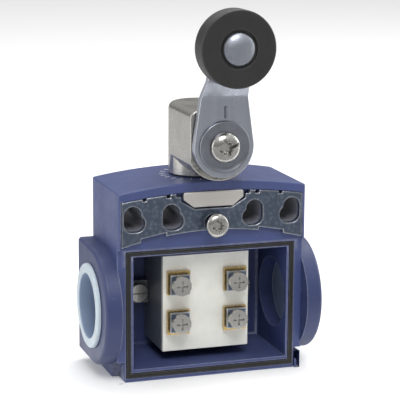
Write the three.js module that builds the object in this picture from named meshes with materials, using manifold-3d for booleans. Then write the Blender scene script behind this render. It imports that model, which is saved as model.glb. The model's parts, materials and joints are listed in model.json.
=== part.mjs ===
// Limit switch with a rotary head, a cranked roller lever and two cable entries.
// Millimetres. +Z is up, the fixing face looks along +Y, the cover faces -Y.
// The origin is the middle of the housing's underside.
import * as THREE from "three";
import { mergeVertices } from "three/addons/utils/BufferGeometryUtils.js";
import Module from "manifold-3d";

const wasm = await Module();
wasm.setup();

// ---- driving dimensions ----

const BODY_HALF_WIDTH = 24.7;
const BODY_SIDE_HEIGHT = 48.8;
const BODY_CROWN_HEIGHT = 51;
const BODY_REAR = 15;
const BODY_FRONT = -10;
const SEAM_Y = -8.5;
const LEDGE_HEIGHT = 34.6;

const CAVITY = { halfWidth: 20.5, floor: 3.2, top: 32.4, rear: 12.5 };
const GASKET = {
  outer: { halfWidth: 22.3, low: 1.1, high: 33.6 },
  inner: { halfWidth: 21.2, low: 2.2, high: 32.9 },
  grooveDepth: 0.9,
  squeeze: 0.2,
  seated: 0.75,
};
const SET_IN_GAP = 0.15; // around a piece that is set into the housing

const ENTRY = { y: 1.5, z: 18, outerRadius: 15, face: 28.8, boreRadius: 9.3, boreY: 2, rootHalf: 10 };
const PLUG = { flangeRadius: 10.9, proud: 1, sleeveRadius: 9.1, cupRadius: 8.25, depth: 4.8, floor: 1 };

const COVER_HALF_WIDTH = 24.4;
const COVER_FRONT = -15;
const COVER_REAR = -8.8;
const COVER_SIDE = { front: 33.3, rear: 34.3 };
const COVER_CROWN = { front: 36.85, rear: 38.1 };
const COVER_SLOPE_END = -10.3;
const COVER_WALL = 1.8;
const COVER_HOLLOW = { halfWidth: 21.4, low: 5.2, high: 32.2 };
const TONGUE_TIP = 48.8;
const HOOK = { inner: 22.9, swingY: -8.8, swingZ: -1, swingRadius: 6.35 };
const COVER_SCREW_Z = 40.2;
const COVER_SCREW = { wayRadius: 1.9, wayEnd: -2, seatRadius: 3.45, seatY: -12.7, plateRadius: 2.2 };
const FOOT_NOTCHES = [
  { x: 18.8, width: 2.8, top: 3.9 },
  { x: 22.6, width: 1.6, top: 2.6 },
];
const TONGUE = { foot: [8.6, 35.5], waist: [6.1, 38.8], neck: [3.9, 44], tip: [1.3, 47.9] };
const TONGUE_LEAN = { low: 36.8, high: 49.4, highY: -12.9 };

const PLATE = {
  halfWidth: 23.95,
  front: -9.95,
  rear: -8.5,
  crown: 48.5,
  topRadius: 150,
  foot: 38.4,
  footRadius: 85.3,
};
const FIXING_SLOTS = [11, 21];
const FIXING_SLOT_RADIUS = 2.2;
const FIXING_SLOT_Z = { high: 43.3, low: 41.2, step: 1 };
const PLATE_VALLEY = [[8.5, 50], [8.5, 46.8], [6.4, 45], [4.9, 43.7]];
const PLATE_SADDLE = { halfWidth: 9.7, floor: 47.3 };
const PLATE_NOTCHES = [
  { from: 11.2, to: 12.2, floor: 47.2 },
  { from: 17.5, to: 18.4, floor: 46.7 },
];
const PLATE_FOOT_SLOT = [[12.3, 35], [18.8, 35], [18.8, 37.2], [12.3, 38.4]];

const BRACKET_LIP = { outline: [[5.2, 44.5], [7.9, 46.6], [7.9, 48], [7.5, 48.4]], front: -10.1, rear: -9.1 };
const FORK = { halfWidth: 6.3, front: -9.4, reach: 2, low: 46.7, high: 47.7, play: 0.25 };
const FORK_SLOT = { halfWidth: 6.6, reach: 2.6 };

const HEAD_AXIS_Y = 2;
const HEAD_HALF_WIDTH = 7.8;
const HEAD_FRONT = -15;
const HEAD_TOP = 69.4;
const HEAD_BOTTOM = 51.8;
const HEAD_NOSE_RADIUS = 9;
const HEAD_CORNER = 1.6;
const NECK = {
  radius: 6.3,
  foot: 44.6,
  bore: 6.6,
  boreFloor: 44.2,
  grooveRadius: 5.1,
  grooveLow: 46.4,
  grooveHigh: 48,
};
const CHAMBER = { radius: 6.2, rear: 6.5 };
const SEAL_GROOVE = { radius: 5.5, low: 49.2, high: 50.4, ringRadius: 6.02, ringWire: 0.48 };
const SPRING_WELL = { radius: 4.3, floor: 46.5 };
const PLUNGER = { radius: 2.2, foot: 33.3, top: 52.2, headWay: 2.5, housingWay: 2.6 };

const PIVOT_Z = 60.85;
const SHAFT_RADIUS = 3.5;
const SHAFT_FRONT = -15.2;
const CAM_RADIUS = 6;
const CAM_NOTCH = { depth: 1.8, halfWidth: 3.4 };
const CAM_HALF_THICKNESS = 2.6;
const HUB_BORE = 3.6; // cam and drive disc on the shaft
const STUB = { radius: 2, wayRadius: 2.2, length: 1.5, wayDepth: 1.8 }; // the shaft's rear end
const DISC = {
  radius: 6.7,
  front: -15.4,
  rear: -13.9,
  teeth: 20,
  groove: { inner: 4.6, width: 0.6, depth: 0.35 },
};

const LEVER = {
  back: -15.7,
  thickness: 2.2,
  crank: 3.3,
  bendLow: 12.15,
  bendHigh: 16.65,
  radius: 7.7,
  tipRadius: 4.2,
};
const ARM_LENGTH = 24.95;
const LEVER_HOLE = 2.3;
const ROLLER = { radius: 9.4, front: -28, rear: -22.4, bore: 2.3, recessRadius: 4.6, recessDepth: 0.9 };

const BLOCK = { halfWidth: 11.5, low: 6, high: 31, front: -3, rear: 12.2, wall: 1.2, earX: 14.2, earZ: 18.5 };
const CARRIER_Y = 2;
const TERMINAL_X = 7.6;
const TERMINAL_HOLE = 1.6;
const PILOT = { radius: 1.5, depth: 1.5 };
const CARRIER = {
  halfWidth: 2.4,
  halfDepth: 2.2,
  low: 10.6,
  high: 29,
  windowHalfDepth: 1.4,
  stemRadius: 2,
  stemTop: 33,
};
const CARRIER_WINDOWS = [[13.6, 17.4], [22, 26]];
const BRIDGE = {
  halfLength: 9,
  halfDepth: 1.1,
  halfThickness: 0.3,
  tipX: 7.3,
  tipRadius: 0.9,
  tipHeight: 0.5,
};
const CARRIER_SPRING = { radius: 1.5, wire: 0.5, z: [7.3, 10.5], turns: 4 };
const BRIDGE_SPRING = { radius: 0.85, wire: 0.35, turns: 4 };
const PLUNGER_SPRING = { radius: 3.2, wire: 0.7, z: [46.7, 50], turns: 3 };
const CONTACTS = {
  no: {
    armZ: 11.4,
    screwZ: 14,
    padLow: 10.6,
    padHigh: 16.9,
    bridgeZ: 14.25,
    tip: -1,
    springLow: 14.8,
    springHigh: 17.2,
  },
  nc: {
    armZ: 26.4,
    screwZ: 23.9,
    padLow: 21.1,
    padHigh: 27.2,
    bridgeZ: 25.35,
    tip: 1,
    springLow: 22.2,
    springHigh: 24.8,
  },
};

// ---- shaping helpers ----

const FINE = 32;
const MEDIUM = 22;
const COARSE = 14;
const SLOT_STEPS = 7;
const COIL_STEPS = 9;
const COIL_SIDES = 6;
const CUT = 0.2; // how far a cutter passes its surface
const ROOT = 1; // how far a piece is sunk into the one it is joined to

function solid(geometry) {
  const bare = geometry.index ? geometry.toNonIndexed() : geometry.clone();
  bare.deleteAttribute("normal");
  bare.deleteAttribute("uv");
  const merged = mergeVertices(bare, 1e-4);
  const mesh = new wasm.Mesh({
    numProp: 3,
    vertProperties: merged.attributes.position.array,
    triVerts: new Uint32Array(merged.index.array),
  });
  return new wasm.Manifold(mesh);
}

function geometryOf(manifold) {
  const mesh = manifold.getMesh();
  const geometry = new THREE.BufferGeometry();
  geometry.setAttribute("position", new THREE.BufferAttribute(mesh.vertProperties, 3));
  geometry.setIndex(new THREE.BufferAttribute(mesh.triVerts, 1));
  geometry.computeVertexNormals();
  return geometry;
}

function box(x, y, z) {
  const geometry = new THREE.BoxGeometry(x[1] - x[0], y[1] - y[0], z[1] - z[0]);
  geometry.translate((x[0] + x[1]) / 2, (y[0] + y[1]) / 2, (z[0] + z[1]) / 2);
  return solid(geometry);
}

// An outline drawn in X and Z, swept along Y.
function slabY(shape, y, segments = COARSE) {
  const geometry = new THREE.ExtrudeGeometry(shape, {
    depth: y[1] - y[0],
    bevelEnabled: false,
    curveSegments: segments,
  });
  geometry.rotateX(Math.PI / 2).translate(0, y[1], 0);
  return solid(geometry);
}

// An outline drawn in Y and Z, swept along X.
function slabX(shape, x, segments = COARSE) {
  const geometry = new THREE.ExtrudeGeometry(shape, {
    depth: x[1] - x[0],
    bevelEnabled: false,
    curveSegments: segments,
  });
  const turn = new THREE.Matrix4().makeBasis(
    new THREE.Vector3(0, 1, 0),
    new THREE.Vector3(0, 0, 1),
    new THREE.Vector3(1, 0, 0),
  );
  geometry.applyMatrix4(turn).translate(x[0], 0, 0);
  return solid(geometry);
}

function rodX(radius, x, y, z, segments = MEDIUM) {
  const geometry = new THREE.CylinderGeometry(radius, radius, x[1] - x[0], segments);
  geometry.rotateZ(Math.PI / 2).translate((x[0] + x[1]) / 2, y, z);
  return solid(geometry);
}

function rodY(radius, y, x, z, segments = MEDIUM) {
  const geometry = new THREE.CylinderGeometry(radius, radius, y[1] - y[0], segments);
  geometry.translate(x, (y[0] + y[1]) / 2, z);
  return solid(geometry);
}

function rodZ(radius, z, x, y, segments = MEDIUM) {
  const geometry = new THREE.CylinderGeometry(radius, radius, z[1] - z[0], segments);
  geometry.rotateX(Math.PI / 2).translate(x, y, (z[0] + z[1]) / 2);
  return solid(geometry);
}

// A turned piece about the Y axis, from [radius, y] pairs. A ring's profile is closed on itself.
function turnedY(profile, segments = MEDIUM) {
  const isRing = profile[0][0] > 0;
  const loop = isRing ? [...profile, profile[0]] : profile;
  const points = loop.map(([radius, y]) => new THREE.Vector2(radius, y));
  const made = solid(new THREE.LatheGeometry(points, segments));
  return made.volume() > 0 ? made : turnedY([...profile].reverse(), segments);
}

function turnedZ(profile, segments = MEDIUM) {
  return turnedY(profile, segments).rotate([90, 0, 0]);
}

function ordered(a, b) {
  return a < b ? [a, b] : [b, a];
}

function polygon(points) {
  return new THREE.Shape(points.map(([a, b]) => new THREE.Vector2(a, b)));
}

function mirrored(points) {
  return [...points, ...points.map(([x, z]) => [-x, z]).reverse()];
}

// A flat-bottomed outline with an arched top.
function archPoints(halfWidth, bottom, side, crown, steps = 16) {
  const rise = crown - side;
  const radius = (halfWidth ** 2 + rise ** 2) / (2 * rise);
  const points = [[-halfWidth, bottom], [halfWidth, bottom]];
  for (let i = 0; i <= steps; i += 1) {
    const x = halfWidth - (2 * halfWidth * i) / steps;
    points.push([x, crown - radius + Math.sqrt(radius ** 2 - x ** 2)]);
  }
  return points;
}

// A body between two outlines in X and Z that have the same number of points.
function loftY(front, back, y) {
  const count = front.length;
  const positions = [];
  for (const [x, z] of front) positions.push(x, y[0], z);
  for (const [x, z] of back) positions.push(x, y[1], z);
  const index = [];
  for (let i = 0; i < count; i += 1) {
    const next = (i + 1) % count;
    index.push(i, i + count, next, next, i + count, next + count);
  }
  const flat = front.map(([x, z]) => new THREE.Vector2(x, z));
  for (const [a, b, c] of THREE.ShapeUtils.triangulateShape(flat, [])) {
    index.push(a, b, c);
    index.push(a + count, c + count, b + count);
  }
  const geometry = new THREE.BufferGeometry();
  geometry.setAttribute("position", new THREE.Float32BufferAttribute(positions, 3));
  geometry.setIndex(index);
  const made = solid(geometry);
  if (made.volume() > 0) return made;
  geometry.setIndex(index.reverse());
  return solid(geometry);
}

// A coil spring about the Z axis through x and y.
class Helix extends THREE.Curve {
  constructor(radius, low, high, turns) {
    super();
    Object.assign(this, { radius, low, high, turns });
  }
  getPoint(t, target = new THREE.Vector3()) {
    const angle = 2 * Math.PI * this.turns * t;
    return target.set(
      this.radius * Math.cos(angle),
      this.radius * Math.sin(angle),
      this.low + (this.high - this.low) * t,
    );
  }
}

function coil({ radius, wire, turns }, z, y) {
  const section = new THREE.Shape();
  section.absarc(0, 0, wire / 2, 0, 2 * Math.PI);
  const path = new Helix(radius, z[0] + wire / 2, z[1] - wire / 2, turns);
  const geometry = new THREE.ExtrudeGeometry(section, {
    extrudePath: path,
    steps: turns * COIL_STEPS,
    curveSegments: COIL_SIDES / 2,
    bevelEnabled: false,
  });
  geometry.translate(0, y, 0);
  return solid(geometry);
}

function torusY(major, minor, y) {
  const geometry = new THREE.TorusGeometry(major, minor, 6, MEDIUM);
  geometry.rotateX(Math.PI / 2).translate(0, y, 0);
  return solid(geometry);
}

function crossRecess(reach, width, y, z) {
  const along = box([-reach, reach], y, [z - width / 2, z + width / 2]);
  return along.add(box([-width / 2, width / 2], y, [z - reach, z + reach]));
}

// ---- housing ----

function housing() {
  const arch = archPoints(BODY_HALF_WIDTH, 0, BODY_SIDE_HEIGHT, BODY_CROWN_HEIGHT);
  let body = slabY(polygon(arch), [BODY_FRONT, BODY_REAR]);
  for (const side of [-1, 1]) {
    body = body.add(entryBoss(side));
  }
  body = body
    .subtract(box([-BODY_HALF_WIDTH, BODY_HALF_WIDTH], [BODY_FRONT - CUT, SEAM_Y], [-CUT, LEDGE_HEIGHT]))
    .subtract(plateRecess())
    .subtract(contactRoom())
    .subtract(gasketFrame(SET_IN_GAP, [SEAM_Y - CUT, SEAM_Y + GASKET.grooveDepth]))
    .subtract(rodZ(NECK.bore, [NECK.boreFloor, BODY_CROWN_HEIGHT + 1], 0, HEAD_AXIS_Y, FINE))
    .subtract(rodZ(PLUNGER.housingWay, [CAVITY.top - CUT, NECK.boreFloor + CUT], 0, HEAD_AXIS_Y))
    .subtract(forkSlot())
    .subtract(rodY(COVER_SCREW.wayRadius, [BODY_FRONT, COVER_SCREW.wayEnd], 0, COVER_SCREW_Z));
  for (const side of [-1, 1]) {
    const bore = ordered((CAVITY.halfWidth - ROOT) * side, (ENTRY.face + CUT) * side);
    const pilotY = [CAVITY.rear - ROOT, CAVITY.rear + PILOT.depth];
    body = body.subtract(rodX(ENTRY.boreRadius, bore, ENTRY.boreY, ENTRY.z, FINE));
    body = body.subtract(hookPocket(side));
    body = body.subtract(rodY(PILOT.radius, pilotY, BLOCK.earX * side, BLOCK.earZ, COARSE));
    for (const x of FIXING_SLOTS) {
      body = body.subtract(fixingSlot(x * side, [BODY_FRONT - CUT, BODY_REAR + CUT]));
    }
  }
  return body;
}

function contactRoom() {
  const { halfWidth, floor, top, rear } = CAVITY;
  return box([-halfWidth, halfWidth], [BODY_FRONT, rear], [floor, top]);
}

function forkSlot() {
  const half = FORK_SLOT.halfWidth;
  return box([-half, half], [BODY_FRONT, HEAD_AXIS_Y + FORK_SLOT.reach], [NECK.grooveLow, NECK.grooveHigh]);
}

function entryBoss(side) {
  const outline = new THREE.Shape();
  outline.moveTo(BODY_REAR, ENTRY.z - ENTRY.outerRadius);
  outline.lineTo(BODY_REAR, ENTRY.z + ENTRY.outerRadius);
  outline.lineTo(ENTRY.y, ENTRY.z + ENTRY.outerRadius);
  outline.absarc(ENTRY.y, ENTRY.z, ENTRY.outerRadius, Math.PI / 2, 1.5 * Math.PI, false);
  const whole = slabX(outline, ordered(BODY_HALF_WIDTH * side, ENTRY.face * side), FINE);
  const rootX = ordered((BODY_HALF_WIDTH - ROOT) * side, (BODY_HALF_WIDTH + CUT) * side);
  const root = box(rootX, [0, BODY_REAR], [ENTRY.z - ENTRY.rootHalf, ENTRY.z + ENTRY.rootHalf]);
  return whole.add(root);
}

function plateBand(grow) {
  const half = PLATE.halfWidth + grow;
  const points = [];
  const steps = 16;
  for (let i = 0; i <= steps; i += 1) {
    const x = -half + (2 * half * i) / steps;
    points.push([x, PLATE.foot - grow - x ** 2 / (2 * PLATE.footRadius)]);
  }
  for (let i = 0; i <= steps; i += 1) {
    const x = half - (2 * half * i) / steps;
    points.push([x, PLATE.crown + grow - x ** 2 / (2 * PLATE.topRadius)]);
  }
  return polygon(points);
}

function plateRecess() {
  const half = PLATE.halfWidth + SET_IN_GAP;
  const foot = box([-half, half], [BODY_FRONT - CUT, SEAM_Y], [LEDGE_HEIGHT - 4.6, LEDGE_HEIGHT + 4.4]);
  return slabY(plateBand(SET_IN_GAP), [BODY_FRONT - CUT, PLATE.rear + 0.1]).add(foot);
}

function hookPocket(side) {
  const x = ordered((HOOK.inner - CUT) * side, (BODY_HALF_WIDTH + CUT) * side);
  return rodX(HOOK.swingRadius, x, HOOK.swingY, HOOK.swingZ, FINE);
}

// A fixing hole for a screw at either of two heights: two round holes run together,
// with a straight outer flank and a flat foot.
function fixingSlot(x, y) {
  const { high, low, step } = FIXING_SLOT_Z;
  const radius = FIXING_SLOT_RADIUS;
  const outer = Math.abs(x);
  const lean = Math.atan2(step, high - low);
  const meet = Math.acos(Math.hypot(step, high - low) / 2 / radius);
  const outline = new THREE.Shape();
  outline.absarc(outer, high, radius, 0, 1.5 * Math.PI - lean - meet, false);
  outline.absarc(outer - step, low, radius, Math.PI / 2 - lean + meet, 1.5 * Math.PI, false);
  outline.absarc(outer, low, radius, 1.5 * Math.PI, 2 * Math.PI, false);
  const points = outline.getPoints(SLOT_STEPS);
  const distinct = points.filter((point, i) => i === 0 || point.distanceTo(points[i - 1]) > 1e-6);
  return slabY(polygon(distinct.map((point) => [point.x * Math.sign(x), point.y])), y);
}

function gasketFrame(grow, y) {
  const { outer, inner } = GASKET;
  const [wide, narrow] = [outer.halfWidth + grow, inner.halfWidth - grow];
  const whole = box([-wide, wide], y, [outer.low - grow, outer.high + grow]);
  return whole.subtract(box([-narrow, narrow], [y[0] - 1, y[1] + 1], [inner.low + grow, inner.high - grow]));
}

function coverGasket() {
  return gasketFrame(0, [SEAM_Y - GASKET.squeeze, SEAM_Y + GASKET.seated]);
}

function cableEntryPlug() {
  const face = ENTRY.face;
  const inner = face - PLUG.depth;
  const cup = rodX(PLUG.flangeRadius, [face + 0.1, face + PLUG.proud], 0, 0, FINE)
    .add(rodX(PLUG.sleeveRadius, [inner, face + 0.2], 0, 0, FINE));
  return cup.subtract(rodX(PLUG.cupRadius, [inner + PLUG.floor, face + PLUG.proud + CUT], 0, 0, FINE));
}

// ---- front cover ----

function frontCover() {
  const front = archPoints(COVER_HALF_WIDTH, 0, COVER_SIDE.front, COVER_CROWN.front);
  const back = archPoints(COVER_HALF_WIDTH, 0, COVER_SIDE.rear, COVER_CROWN.rear);
  const hollowX = [-COVER_HOLLOW.halfWidth, COVER_HOLLOW.halfWidth];
  const hollowY = [COVER_FRONT + COVER_WALL, COVER_REAR + CUT];
  let cover = loftY(front, back, [COVER_FRONT, COVER_SLOPE_END])
    .add(slabY(polygon(back), [COVER_SLOPE_END, COVER_REAR]))
    .add(tongue())
    .subtract(box(hollowX, hollowY, [COVER_HOLLOW.low, COVER_HOLLOW.high]))
    .subtract(rodY(COVER_SCREW.seatRadius, [COVER_FRONT - 1, COVER_SCREW.seatY], 0, COVER_SCREW_Z))
    .subtract(rodY(COVER_SCREW.wayRadius, [COVER_FRONT, COVER_REAR + CUT], 0, COVER_SCREW_Z));
  for (const side of [-1, 1]) {
    for (const { x, width, top } of FOOT_NOTCHES) {
      cover = cover.subtract(footNotch(side * x, width, top));
    }
    cover = cover.add(coverHook(side));
  }
  return cover;
}

function tongue() {
  const outline = new THREE.Shape();
  const { foot, waist, neck, tip } = TONGUE;
  outline.moveTo(-foot[0], foot[1]);
  outline.quadraticCurveTo(-waist[0], waist[1], -neck[0], neck[1]);
  outline.lineTo(-tip[0], tip[1]);
  outline.quadraticCurveTo(0, TONGUE_TIP + 0.9, ...tip);
  outline.lineTo(...neck);
  outline.quadraticCurveTo(...waist, ...foot);
  const { low, high, highY } = TONGUE_LEAN;
  const lean = polygon([[COVER_FRONT - 1, low], [COVER_FRONT, low], [highY, high], [COVER_FRONT - 1, high]]);
  return slabY(outline, [COVER_FRONT, BODY_FRONT - 0.5]).subtract(slabX(lean, [-foot[0] - 1, foot[0] + 1]));
}

function footNotch(x, width, top) {
  const radius = width / 4;
  const y = [COVER_FRONT - 1, COVER_REAR + CUT];
  return box([x - width / 2, x + width / 2], y, [-1, top - radius]).add(
    box([x - width / 2 + radius, x + width / 2 - radius], y, [0, top]),
  );
}

function coverHook(side) {
  const outline = polygon([[-9.2, 0], [-2.8, 0], [-2.8, 0.3], [-5.5, 4.2], [-9.2, 4.5]]);
  return slabX(outline, ordered(HOOK.inner * side, COVER_HALF_WIDTH * side));
}

function coverScrew() {
  const head = turnedY([
    [0, -14.5],
    [2, -14.35],
    [3, -13.9],
    [3, -12.9],
    [1.6, -12.9],
    [1.6, -2.6],
    [0, -2.6],
  ]);
  return head.translate([0, 0, COVER_SCREW_Z]).subtract(crossRecess(1.7, 0.7, [-15, -13.4], COVER_SCREW_Z));
}

// ---- fixing plate and head lock ----

function fixingPlate() {
  const y = [PLATE.front, PLATE.rear];
  const through = [PLATE.front - 1, PLATE.rear + 1];
  const above = PLATE.crown + 1.5;
  const saddle = box([-PLATE_SADDLE.halfWidth, PLATE_SADDLE.halfWidth], through, [PLATE_SADDLE.floor, above]);
  let plate = slabY(plateBand(0), y)
    .subtract(slabY(polygon(mirrored(PLATE_VALLEY)), through))
    .subtract(saddle)
    .subtract(rodY(COVER_SCREW.plateRadius, through, 0, COVER_SCREW_Z));
  for (const side of [-1, 1]) {
    for (const { from, to, floor } of PLATE_NOTCHES) {
      plate = plate.subtract(box(ordered(from * side, to * side), through, [floor, above]));
    }
    const footSlot = PLATE_FOOT_SLOT.map(([x, z]) => [x * side, z]);
    plate = plate.subtract(slabY(polygon(footSlot), through));
    for (const x of FIXING_SLOTS) {
      plate = plate.subtract(fixingSlot(x * side, through));
    }
  }
  return plate;
}

function headLockBracket() {
  const lip = slabY(polygon(mirrored(BRACKET_LIP.outline)), [BRACKET_LIP.front, BRACKET_LIP.rear]);
  const groove = NECK.grooveRadius + FORK.play;
  const reach = HEAD_AXIS_Y + FORK.reach;
  const throatY = [HEAD_AXIS_Y - groove - 0.1, reach + 1];
  const throat = box([-groove, groove], throatY, [FORK.low - 1, FORK.high + 1]);
  const fork = box([-FORK.halfWidth, FORK.halfWidth], [FORK.front, reach], [FORK.low, FORK.high]);
  return lip.add(fork.subtract(throat));
}

// ---- rotary head ----

function headBody() {
  const shoulder = Math.asin(HEAD_HALF_WIDTH / HEAD_NOSE_RADIUS);
  const corner = HEAD_CORNER;
  const face = new THREE.Shape();
  face.absarc(0, PIVOT_Z, HEAD_NOSE_RADIUS, -Math.PI / 2 - shoulder, -Math.PI / 2 + shoulder, false);
  face.lineTo(HEAD_HALF_WIDTH, HEAD_TOP - corner);
  face.quadraticCurveTo(HEAD_HALF_WIDTH, HEAD_TOP, HEAD_HALF_WIDTH - corner, HEAD_TOP);
  face.lineTo(corner - HEAD_HALF_WIDTH, HEAD_TOP);
  face.quadraticCurveTo(-HEAD_HALF_WIDTH, HEAD_TOP, -HEAD_HALF_WIDTH, HEAD_TOP - corner);
  const column = turnedZ([
    [0, NECK.foot],
    [NECK.radius, NECK.foot],
    [NECK.radius, NECK.grooveLow],
    [NECK.grooveRadius, NECK.grooveLow],
    [NECK.grooveRadius, NECK.grooveHigh],
    [NECK.radius, NECK.grooveHigh],
    [NECK.radius, SEAL_GROOVE.low],
    [SEAL_GROOVE.radius, SEAL_GROOVE.low],
    [SEAL_GROOVE.radius, SEAL_GROOVE.high],
    [NECK.radius, SEAL_GROOVE.high],
    [NECK.radius, HEAD_BOTTOM],
    [HEAD_HALF_WIDTH, HEAD_BOTTOM],
    [HEAD_HALF_WIDTH, HEAD_TOP - corner],
    [HEAD_HALF_WIDTH - corner, HEAD_TOP],
    [0, HEAD_TOP],
  ], FINE).translate([0, HEAD_AXIS_Y, 0]);
  return slabY(face, [HEAD_FRONT, HEAD_AXIS_Y], 10)
    .add(column)
    .subtract(rodY(CHAMBER.radius, [HEAD_FRONT - CUT, CHAMBER.rear], 0, PIVOT_Z, FINE))
    .subtract(rodY(DISC.radius + 0.3, [HEAD_FRONT - CUT, DISC.rear + 0.2], 0, PIVOT_Z, FINE))
    .subtract(rodY(STUB.wayRadius, [CHAMBER.rear - CUT, CHAMBER.rear + STUB.wayDepth], 0, PIVOT_Z, COARSE))
    .subtract(rodZ(SPRING_WELL.radius, [SPRING_WELL.floor, PIVOT_Z], 0, HEAD_AXIS_Y))
    .subtract(rodZ(PLUNGER.headWay, [NECK.foot - CUT, SPRING_WELL.floor + 0.1], 0, HEAD_AXIS_Y));
}

function headSealRing() {
  const { low, high, ringRadius, ringWire } = SEAL_GROOVE;
  const geometry = new THREE.TorusGeometry(ringRadius, ringWire, 6, MEDIUM);
  geometry.translate(0, HEAD_AXIS_Y, (low + high) / 2);
  return solid(geometry);
}

function shaftBush() {
  return turnedY([[3.6, -13.5], [5, -13.5], [5, -13.6], [6.1, -13.6], [6.1, -9], [3.6, -9]]).subtract(
    turnedY([[3.5, -14], [5, -14], [5, -12.4], [3.5, -12.4]]),
  );
}

function shaftSeal() {
  return torusY(4.3, 0.5, -13);
}

function shaftCirclip() {
  const ring = turnedY([[3, -8.6], [4.7, -8.6], [4.7, -7.9], [3, -7.9]]);
  return ring.subtract(box([-1.4, 1.4], [-9, -7.5], [-6, 0]));
}

function leverShaft() {
  return turnedY([
    [0, -4],
    [2.3, -4],
    [2.3, SHAFT_FRONT],
    [SHAFT_RADIUS, SHAFT_FRONT],
    [SHAFT_RADIUS, -8.7],
    [2.9, -8.7],
    [2.9, -7.8],
    [SHAFT_RADIUS, -7.8],
    [SHAFT_RADIUS, CHAMBER.rear - 0.3],
    [STUB.radius, CHAMBER.rear - 0.3],
    [STUB.radius, CHAMBER.rear + STUB.length],
    [0, CHAMBER.rear + STUB.length],
  ]);
}

function driveDisc() {
  const { radius, front, rear, teeth, groove: cutter } = DISC;
  let disc = turnedY([[HUB_BORE, front], [radius, front], [radius, rear], [HUB_BORE, rear]], FINE);
  const half = cutter.width / 2;
  for (let i = 0; i < teeth; i += 1) {
    const groove = box([cutter.inner, radius + 1], [front - 1, front + cutter.depth], [-half, half]);
    disc = disc.subtract(groove.rotate([0, (360 * i) / teeth, 0]));
  }
  return disc;
}

function cam() {
  const y = [HEAD_AXIS_Y - CAM_HALF_THICKNESS, HEAD_AXIS_Y + CAM_HALF_THICKNESS];
  const round = rodY(CAM_RADIUS, y, 0, 0, FINE);
  const { depth, halfWidth } = CAM_NOTCH;
  const open = -CAM_RADIUS - 1;
  const notch = polygon([[-halfWidth, open], [halfWidth, open], [0, depth - CAM_RADIUS]]);
  const through = [HEAD_AXIS_Y - 6, HEAD_AXIS_Y + 6];
  return round.subtract(slabY(notch, through)).subtract(rodY(HUB_BORE, through, 0, 0));
}

function headPlunger() {
  return rodZ(PLUNGER.radius, [PLUNGER.foot, PLUNGER.top], 0, HEAD_AXIS_Y, COARSE);
}

function plungerCap() {
  const cap = turnedZ([
    [0, 52.4],
    [2.4, 52.4],
    [2.4, 50.2],
    [3.9, 50.2],
    [3.9, 52.6],
    [2.6, 53.9],
    [0, 54.3],
  ]);
  return cap.translate([0, HEAD_AXIS_Y, 0]);
}

// ---- lever and roller, about the lever's own pivot ----

function rollerLever() {
  const front = LEVER.back - LEVER.thickness;
  const miter = LEVER.thickness * Math.tan(Math.atan2(LEVER.crank, LEVER.bendHigh - LEVER.bendLow) / 2);
  const top = ARM_LENGTH + LEVER.tipRadius + 1;
  const bottom = -LEVER.radius - 1;
  const profile = polygon([
    [front, bottom],
    [LEVER.back, bottom],
    [LEVER.back, LEVER.bendLow + miter],
    [LEVER.back - LEVER.crank, LEVER.bendHigh + miter],
    [LEVER.back - LEVER.crank, top],
    [front - LEVER.crank, top],
    [front - LEVER.crank, LEVER.bendHigh],
    [front, LEVER.bendLow],
  ]);
  const lean = Math.asin((LEVER.radius - LEVER.tipRadius) / ARM_LENGTH);
  const outline = new THREE.Shape();
  outline.absarc(0, 0, LEVER.radius, Math.PI - lean, lean, false);
  outline.absarc(0, ARM_LENGTH, LEVER.tipRadius, lean, Math.PI - lean, false);
  const through = [front - 10, LEVER.back + 5];
  return slabX(profile, [-LEVER.radius - 2, LEVER.radius + 2])
    .intersect(slabY(outline, [front - 10, LEVER.back + 1], COARSE))
    .subtract(rodY(LEVER_HOLE, through, 0, 0))
    .subtract(rodY(LEVER_HOLE, through, 0, ARM_LENGTH));
}

function leverWasher() {
  return turnedY([
    [2.3, -18],
    [6.2, -18],
    [6.5, -18.2],
    [6.5, -18.6],
    [6.1, -18.7],
    [4.1, -18.35],
    [2.3, -18.35],
  ]);
}

function leverClampScrew() {
  const screw = turnedY([
    [0, -20.5],
    [2, -20.3],
    [3.4, -19.7],
    [3.85, -19.2],
    [3.85, -18.45],
    [2, -18.45],
    [2, -6],
    [0, -6],
  ]);
  return screw.subtract(crossRecess(2.1, 0.9, [-21, -19], 0).rotate([0, 38, 0]));
}

function roller() {
  const { radius, front, rear, bore, recessRadius, recessDepth } = ROLLER;
  const round = 0.3;
  return turnedY([
    [bore, rear],
    [radius - round, rear],
    [radius, rear - round],
    [radius, front + round],
    [radius - round, front],
    [recessRadius, front],
    [recessRadius, front + recessDepth],
    [bore, front + recessDepth],
  ], FINE);
}

function rollerRivet() {
  return turnedY([
    [0, -29.3],
    [1.6, -29.1],
    [3, -28.5],
    [4, -27.7],
    [4, -27.4],
    [2, -27.4],
    [2, -18.7],
    [3.2, -18.7],
    [3.2, -18.1],
    [2.4, -17.7],
    [0, -17.7],
  ]);
}

function rollerSpacer() {
  return turnedY([[2.2, -22.15], [3.4, -22.15], [3.4, -21.4], [2.2, -21.4]]);
}

// ---- contact block ----

function contactBlockCase() {
  const { halfWidth, low, high, front, rear, wall, earX, earZ } = BLOCK;
  let shell = box([-halfWidth, halfWidth], [front, rear], [low, high])
    .subtract(box([wall - halfWidth, halfWidth - wall], [front - 1, rear - wall], [low + wall, high - wall]))
    .subtract(rodZ(2.3, [high - wall - 1, high + 1], 0, CARRIER_Y));
  for (const side of [-1, 1]) {
    const earAcross = ordered((halfWidth - 0.5) * side, (earX + 2.6) * side);
    const ear = box(earAcross, [9.6, rear], [earZ - 3, earZ + 3]);
    shell = shell.add(ear).subtract(rodY(TERMINAL_HOLE, [9, 13], earX * side, earZ, COARSE));
  }
  return shell;
}

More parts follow.
